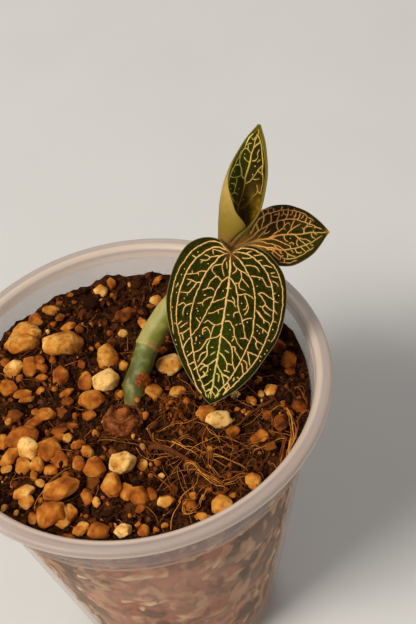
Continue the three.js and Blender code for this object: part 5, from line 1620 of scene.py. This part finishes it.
frontLines = veinLines(frontMain, frontTwigs, veinStyle)
frontLook = {
    "dark": (23, 26, 0), "mid": (38, 40, 0), "bright": (42, 54, 3), "speck": (84, 86, 14),
    "beside": (88, 74, 18), "margin": (30, 30, 10), "edge": (138, 122, 76), "root": (96, 58, 26),
    "back": (108, 88, 46), "backPale": (136, 114, 58), "backVein": (164, 144, 80),
}
frontGrowth = {
    # the glow is painted light: a paler green band along the midrib towards the tip
    "glow": lambda x, y: np.exp(-(y / 2.2) ** 2) * easing(x, 8, 17) * (1 - 0.8 * easing(x, 22, 28)),
    "root": lambda x, y: np.exp(-((x - 0.2) ** 2 + (y * 0.9) ** 2) / 1.6),
}
makeBlade("frontBlade", "leaf_front", frontLeaf, stalks["front"], frontLines,
          bladeMaterial("velvetGreen", frontLook), frontGrowth)
goldStops = [(0.0, (128, 84, 40)), (0.3, (234, 184, 114)), (0.65, (232, 198, 118)),
             (1.0, (184, 180, 86))]
makeVeins("frontVeins", frontLeaf, frontLines, frontDots, veinMaterial("goldVeins", goldStops),
          lambda x, y: (0.36 + 0.08 * math.sin(x) + 0.5 * eased(x, 10, 26) * math.exp(-(y / 3.5) ** 2))
          * eased(math.hypot(x, y), -0.6, 2.4), 0.5)
print("front leaf")

sideLines = veinLines(sideMain + [(r, 0.14, 0.12) for r in sideRungs], sideTwigs,
                      dict(veinStyle, twig=0.14, twigEnd=0.1, tipGain=0))
# the base (root) keeps its own copper-brown but is painted paler: partly painted light lifting the young
# leaf's shadow
sideLook = dict(frontLook, dark=(28, 27, 3), mid=(40, 40, 6), bright=(46, 64, 8), speck=(98, 84, 20),
                beside=(106, 74, 26), root=(196, 144, 70), margin=(52, 40, 14), edge=(112, 88, 50))
sideGrowth = {
    # the glow is painted light: a paler green patch towards the tip on the left-edge half
    "glow": lambda x, y: 0.6 * easing(x, 12, 20) * easing(-y, -1, 3),
    "root": lambda x, y: (
        0.85 * (1 - easing(x, 1, 7.5)) * (1 - 0.6 * easing(np.abs(y - 0.8), 1.4, 3.4))
        + 0.05 * (1 - easing(x, 6, 11)) + np.exp(-((x - 21.5) ** 2 + (y - 0.5) ** 2) / 0.6)),
}
makeBlade("sideBlade", "leaf_side", sideLeaf, stalks["side"], sideLines,
          bladeMaterial("velvetBronze", sideLook), sideGrowth)
# the vein colours are palest at low tone, which falls at the leaf's base: painted light that lifts the young
# leaf's shadow there
copperStops = [(0.0, (238, 182, 96)), (0.2, (232, 164, 88)), (0.42, (218, 148, 78)),
               (0.7, (208, 156, 80)), (1.0, (200, 178, 92))]
makeVeins("sideVeins", sideLeaf, sideLines, sideDots, veinMaterial("copperVeins", copperStops),
          lambda x, y: 0.02 + 0.4 * eased(x, 5, 12) + 0.45 * eased(x - 1.3 * y, 6, 18), 0)
print("side leaf")


# the rolled young leaf: height along it and angle round it, from its back

youngLeaf = {
    "base": (28.5, 10.7, 107.3), "tip": (40.2, 21.2, 131.3), "facing": (-0.22, -0.85, 0.48),
    # height, shift to the left, radius, and the angles of its right and left margins
    "rows": [(1, 1.3, 1.45, 160, 192), (2.7, 1.1, 2, 153, 198), (4, 0.85, 2.5, 149, 203),
             (5.4, 0.65, 3, 138, 213), (6.7, 0.45, 3.4, 124, 222), (7.8, 0.33, 3.7, 111, 208),
             (10, 0.15, 4.2, 98, 171), (12.2, 0.12, 4.35, 92, 152), (15.2, 0.1, 4.3, 88, 122),
             (18, 0, 4, 84, 98), (20.5, 0, 3.55, 78, 82), (23, 0, 2.9, 70, 72), (25.4, 0, 2.1, 60, 60),
             (27.2, 0, 1.15, 50, 50), (28.5, 0, 0.4, 40, 40)],
    "first": 1, "last": 28.5, "steps": 399,  # heights of its foot and tip, and steps of the table of its rows
    "thickness": 0.6, "gridRows": 170, "gridColumns": 110, "neckStart": 0.6, "neckRadii": (1.3, 2),
}
# veins on its inner face: height and angle
youngMain = [
    ([(7.8, 1), (9.4, 6), (11, 3), (14.4, 1), (15.7, 5), (18.5, 3), (19.8, 2), (21.3, 5), (22.8, 1),
      (24.6, 3), (25.2, 11)], 0.17), ([(24.6, 3), (26, -7), (27.3, -13)], 0.13),
    ([(15.3, 2), (16, 17), (17.4, 25), (19.9, 47), (21.6, 52), (22.4, 44), (22.4, 30), (21.5, 7)], 0.14),
    ([(16, 67), (17.5, 73), (18.4, 61), (19.6, 64), (20.5, 54)], 0.12), ([(18.4, 61), (18.5, 35)], 0.11),
    ([(22.5, 46), (23.5, 48), (24.7, 51), (26.1, 36)], 0.12), ([(23.4, 50), (23.2, 31), (22.4, 26)], 0.11),
    ([(23.5, 34), (23.8, 19)], 0.1), ([(16.2, 77), (15.5, 40), (16.1, 19)], 0.12),
    ([(15.4, 32), (14.3, 29), (12.7, 29), (11.8, 33)], 0.12), ([(14.2, 49), (13.9, 32)], 0.1),
    ([(20.5, 32), (19.7, 18), (19.4, 5)], 0.12),
    ([(19.8, -4), (20.2, -17), (21.2, -24), (21.7, -20), (22.8, -27)], 0.12),
    ([(26.1, -8), (25.1, -25), (23.7, -39), (21.5, -47), (19.9, -53), (18.7, -50), (17.4, -59), (15.6, -67),
      (15, -64), (13.6, -66)], 0.15), ([(23.4, -2), (23.9, -14), (24.9, -30)], 0.11),
    ([(14.4, -1), (15.4, -14), (16.7, -22), (18.2, -32), (19.8, -52)], 0.14),
    ([(18, -32), (17.6, -55)], 0.1), ([(15.9, -19), (15.9, -27), (16.4, -42)], 0.11),
    ([(20.7, -37), (19.9, -25)], 0.1),
    ([(8.7, 0), (9.5, -17), (10.3, -23), (11.8, -31), (13.7, -46), (14.3, -45)], 0.12),
    ([(13.6, -46), (13.6, -70)], 0.1), ([(12.8, 57), (11.6, 40), (10.2, 27), (9.7, 12), (9, 6)], 0.12),
    ([(11.7, 35), (12.1, 26), (11.8, 15)], 0.1), ([(10.6, 2), (11, -11)], 0.09),
    ([(9, -20), (8.7, -50)], 0.08),
    ([(13.7, 60), (16, 67), (17.8, 66), (18.9, 62), (20.5, 58), (21.8, 56)], 0.1),
    ([(18.5, 61), (18.7, 38)], 0.08), ([(14.1, 49), (13.8, 32), (12.8, 29), (11.9, 33), (11.6, 42)], 0.1),
    ([(12, 29), (11.7, 15)], 0.08), ([(12.9, 57), (11.4, 38), (10.3, 25), (9.5, 7)], 0.1),
    ([(11, 41), (9.9, 23)], 0.08), ([(25.2, 37), (25, 6), (26.2, 2)], 0.09),
    ([(23, -2), (23.7, -13), (24.6, -35)], 0.09), ([(14.9, -38), (13.6, -50), (13.7, -72)], 0.08),
    ([(18, 64), (17, 71)], 0.09), ([(23.7, 55), (23.8, 21)], 0.08),
]
youngDots = [
    (12.9, 45), (13, 17), (17, 53), (18.8, -18), (16.8, -16), (14, 60), (21.1, 32), (23.3, 33), (10.5, 29),
]


def youngRow(height):
    rows = np.array(youngLeaf["rows"], float)
    dense = curveThrough(rows, 20)
    return [float(np.interp(height, dense[:, 0], dense[:, k])) for k in range(1, 5)]


youngAxes = leafAxes(youngLeaf)
youngHeights = np.linspace(youngLeaf["first"], youngLeaf["last"], youngLeaf["steps"] + 1)
youngTable = np.array([youngRow(height) for height in youngHeights])


def youngSpot(height):  # where a height falls in the table
    return (height - youngLeaf["first"]) / (youngLeaf["last"] - youngLeaf["first"]) * youngLeaf["steps"]


def onYoung(height, angle, inset):  # a point of the roll, inset from its middle surface towards its axis
    along, across, out = youngAxes
    spot = youngSpot(height)
    low = int(np.clip(spot, 0, youngLeaf["steps"] - 1))
    below, above = youngTable[low:low + 2]
    shift, radius, _, _ = below + (above - below) * (spot - low)
    turn = math.radians(angle)
    outward = math.sin(turn) * across - math.cos(turn) * out
    centre = np.array(youngLeaf["base"]) + along * height + across * shift
    return centre + outward * (radius - inset)


def youngEdges(height):
    return youngTable[int(np.clip(round(youngSpot(height)), 0, youngLeaf["steps"]))][2:]


def youngMaterial():
    paint = Paint("oliveRoll")
    inner, vein, edge, height = [paint.attribute(name) for name in ("inner", "veinGap", "edgeGap", "height")]
    glow, neck, turned, right = [paint.attribute(name) for name in ("glow", "neck", "angle", "right")]
    fibres = paint.node("ShaderNodeCombineXYZ", values={0: turned * 2.5, 1: height * 0.12, 2: 0.0})
    streaks = paint.noiseAt(fibres, 1.6, 4.0, 0.6)
    mottle = paint.noise(1.8, 3, 0.6)
    grains = paint.cells(0.22)
    outside = paint.mix(paint.ease(height, 5, 16), (126, 104, 28), (184, 152, 84))
    outside = paint.over(outside, (96, 90, 30), height, 14, 21)
    outside = paint.over(outside, (150, 132, 60), streaks, 0.3, 0.7, 0.3)
    outside = paint.over(outside, (104, 100, 30), mottle, 0.45, 0.7, 0.25)
    deep = paint.mix(paint.ease(turned + (mottle - 0.5) * 4, -1.5, 2.5), (38, 30, 4), (72, 80, 12))
    deep = paint.over(deep, (28, 32, 3), mottle, 0.4, 0.7, 0.5)
    # painted light: a golden glow low on the inner face, standing in for light shining through the leaf
    deep = paint.mix(glow * (0.3 + paint.ease(mottle, 0.62, 0.36) * 0.7), deep, (168, 128, 30))
    deep = paint.over(deep, (124, 104, 30), grains, 0.45, 0.1, 0.3)
    within = paint.over(deep, (120, 104, 30), vein, 0.35, 0.1, 0.2)
    band = paint.over(within, (158, 122, 48), edge, 1.05, 0.8)
    band = paint.over(band, (84, 90, 20), edge, 0.78, 0.62)
    band = paint.over(band, (116, 104, 42), edge, 0.24, 0.12)
    outer = paint.mix(paint.ease(edge, 1.3, 1.0) * right, outside, (92, 98, 24))
    outer = paint.mix(paint.ease(edge, 0.5, 0.3) * right, outer, (138, 116, 46))
    colour = paint.mix(inner, outer, band)
    colour = paint.mix(neck, colour, paint.mix(streaks, (112, 74, 34), (160, 116, 64)))
    return paint.finish(colour, 0.65, 0.08, paint.bump(streaks * 0.4 + grains * 0.6, 0.04, 0.5))


def makeYoung():
    rows, columns = youngLeaf["gridRows"] + 1, youngLeaf["gridColumns"] + 1
    along, across, out = youngAxes
    half = youngLeaf["thickness"] / 2
    lines = [evenPoints(points, 1.2) for points, _ in youngMain]
    lines = [atParts(line, np.linspace(0, 1, max(4, len(line)))) for line in lines]
    tree = finder([onYoung(h, a, half) for line in lines for h, a in line])
    inner, outer = np.zeros((2, rows, columns, 3))
    values = {key: np.zeros((2, rows, columns)) for key in (
        "inner", "veinGap", "edgeGap", "height", "glow", "neck", "angle", "right")}
    for r, height in enumerate(np.linspace(youngLeaf["first"], youngLeaf["last"], rows)):
        right, left = youngEdges(height)
        radius = youngTable[int(round(r / (rows - 1) * youngLeaf["steps"]))][1]
        for c in range(columns):
            angle = -right + (right + left) * c / (columns - 1)
            toEdge = min(angle + right, left - angle) * math.pi / 180 * radius
            toEdge = min(toEdge, youngLeaf["last"] + 0.2 - height)
            thin = half * (0.4 + 0.6 * eased(toEdge, 0, 0.7))
            gap = tree.find(onYoung(height, angle, half))[2]
            dip = 0.1 * eased(gap, 0.15, 1.2) * min(1, toEdge / 0.8)
            inner[r, c] = onYoung(height, angle, thin - dip)
            outer[r, c] = onYoung(height, angle, -thin - dip * 0.5)
            # the glow value marks the painted light, low on the right of the inner face
            for key, value in (
                    ("veinGap", gap), ("edgeGap", toEdge), ("height", height),
                    ("glow", eased(-angle, -50, 60) * (1 - eased(height, 8, 17))),
                    ("neck", 1 - eased(height, 2, 5.5)), ("angle", angle * radius * math.pi / 180),
                    ("right", eased(-angle, 20, 60))):
                values[key][:, r, c] = value
    values["inner"][0] = 1
    points, faces = doubleFaced(inner, outer)
    start = atParts(stemLine, [1])[0] - along * youngLeaf["neckStart"]
    centres = [np.array(youngLeaf["base"]) + along * h + across * s for h, s, *_ in youngLeaf["rows"][:2]]
    bar = evenPoints([start] + centres, 0.2)
    radii = np.linspace(*youngLeaf["neckRadii"], len(bar))
    radii[-1] *= 0.8
    neckPoints, neckFaces = tube(bar, radii, 40)
    faces += shifted(neckFaces, len(points))
    fills = {"veinGap": 2, "edgeGap": 2, "neck": 1}
    flat = {key: np.concatenate([field.ravel(), np.full(len(neckPoints), float(fills.get(key, 0)))])
            for key, field in values.items()}
    piece = newPiece("youngRoll", np.vstack([points, neckPoints]), faces, youngMaterial(), flat)
    placeClosed(piece, "young_blade", "leaf_young")
    made = []
    for (points, radius), line in zip(youngMain, lines):
        fine = atParts(line, np.linspace(0, 1, len(line) * 4))
        parts = np.linspace(0, 1, len(fine))
        radii = (1.25 if radius > 0.16 else 0.95) * radius * (1 - 0.3 * parts)
        radii = radii * (1 + 0.25 * np.sin(parts * 11 + radius * 90))
        # veins grow paler up the leaf, and are painted paler on the left side (positive angles) as painted
        # light that lifts the shade there
        tones = [0.62 * eased(h, 4, 22) + 0.6 * eased(a, 0, 35) for h, a in fine]
        made.append(([onYoung(h, a, half + 0.02) for h, a in fine], radii, tones))
    for h, a in youngDots:
        ends = [(h - 0.12, a - 1), (h, a), (h + 0.14, a + 1)]
        made.append(([onYoung(u, v, half) for u, v in ends], np.array([0.5, 1, 0.5]) * 0.14, [0.9] * 3))
    stops = [(0.0, (136, 108, 32)), (0.35, (184, 148, 60)), (0.65, (216, 186, 94)),
             (1.0, (248, 226, 116))]
    place(strands("youngVeins", made, veinMaterial("oliveVeins", stops)), "young_blade")


makeYoung()
print("young leaf")
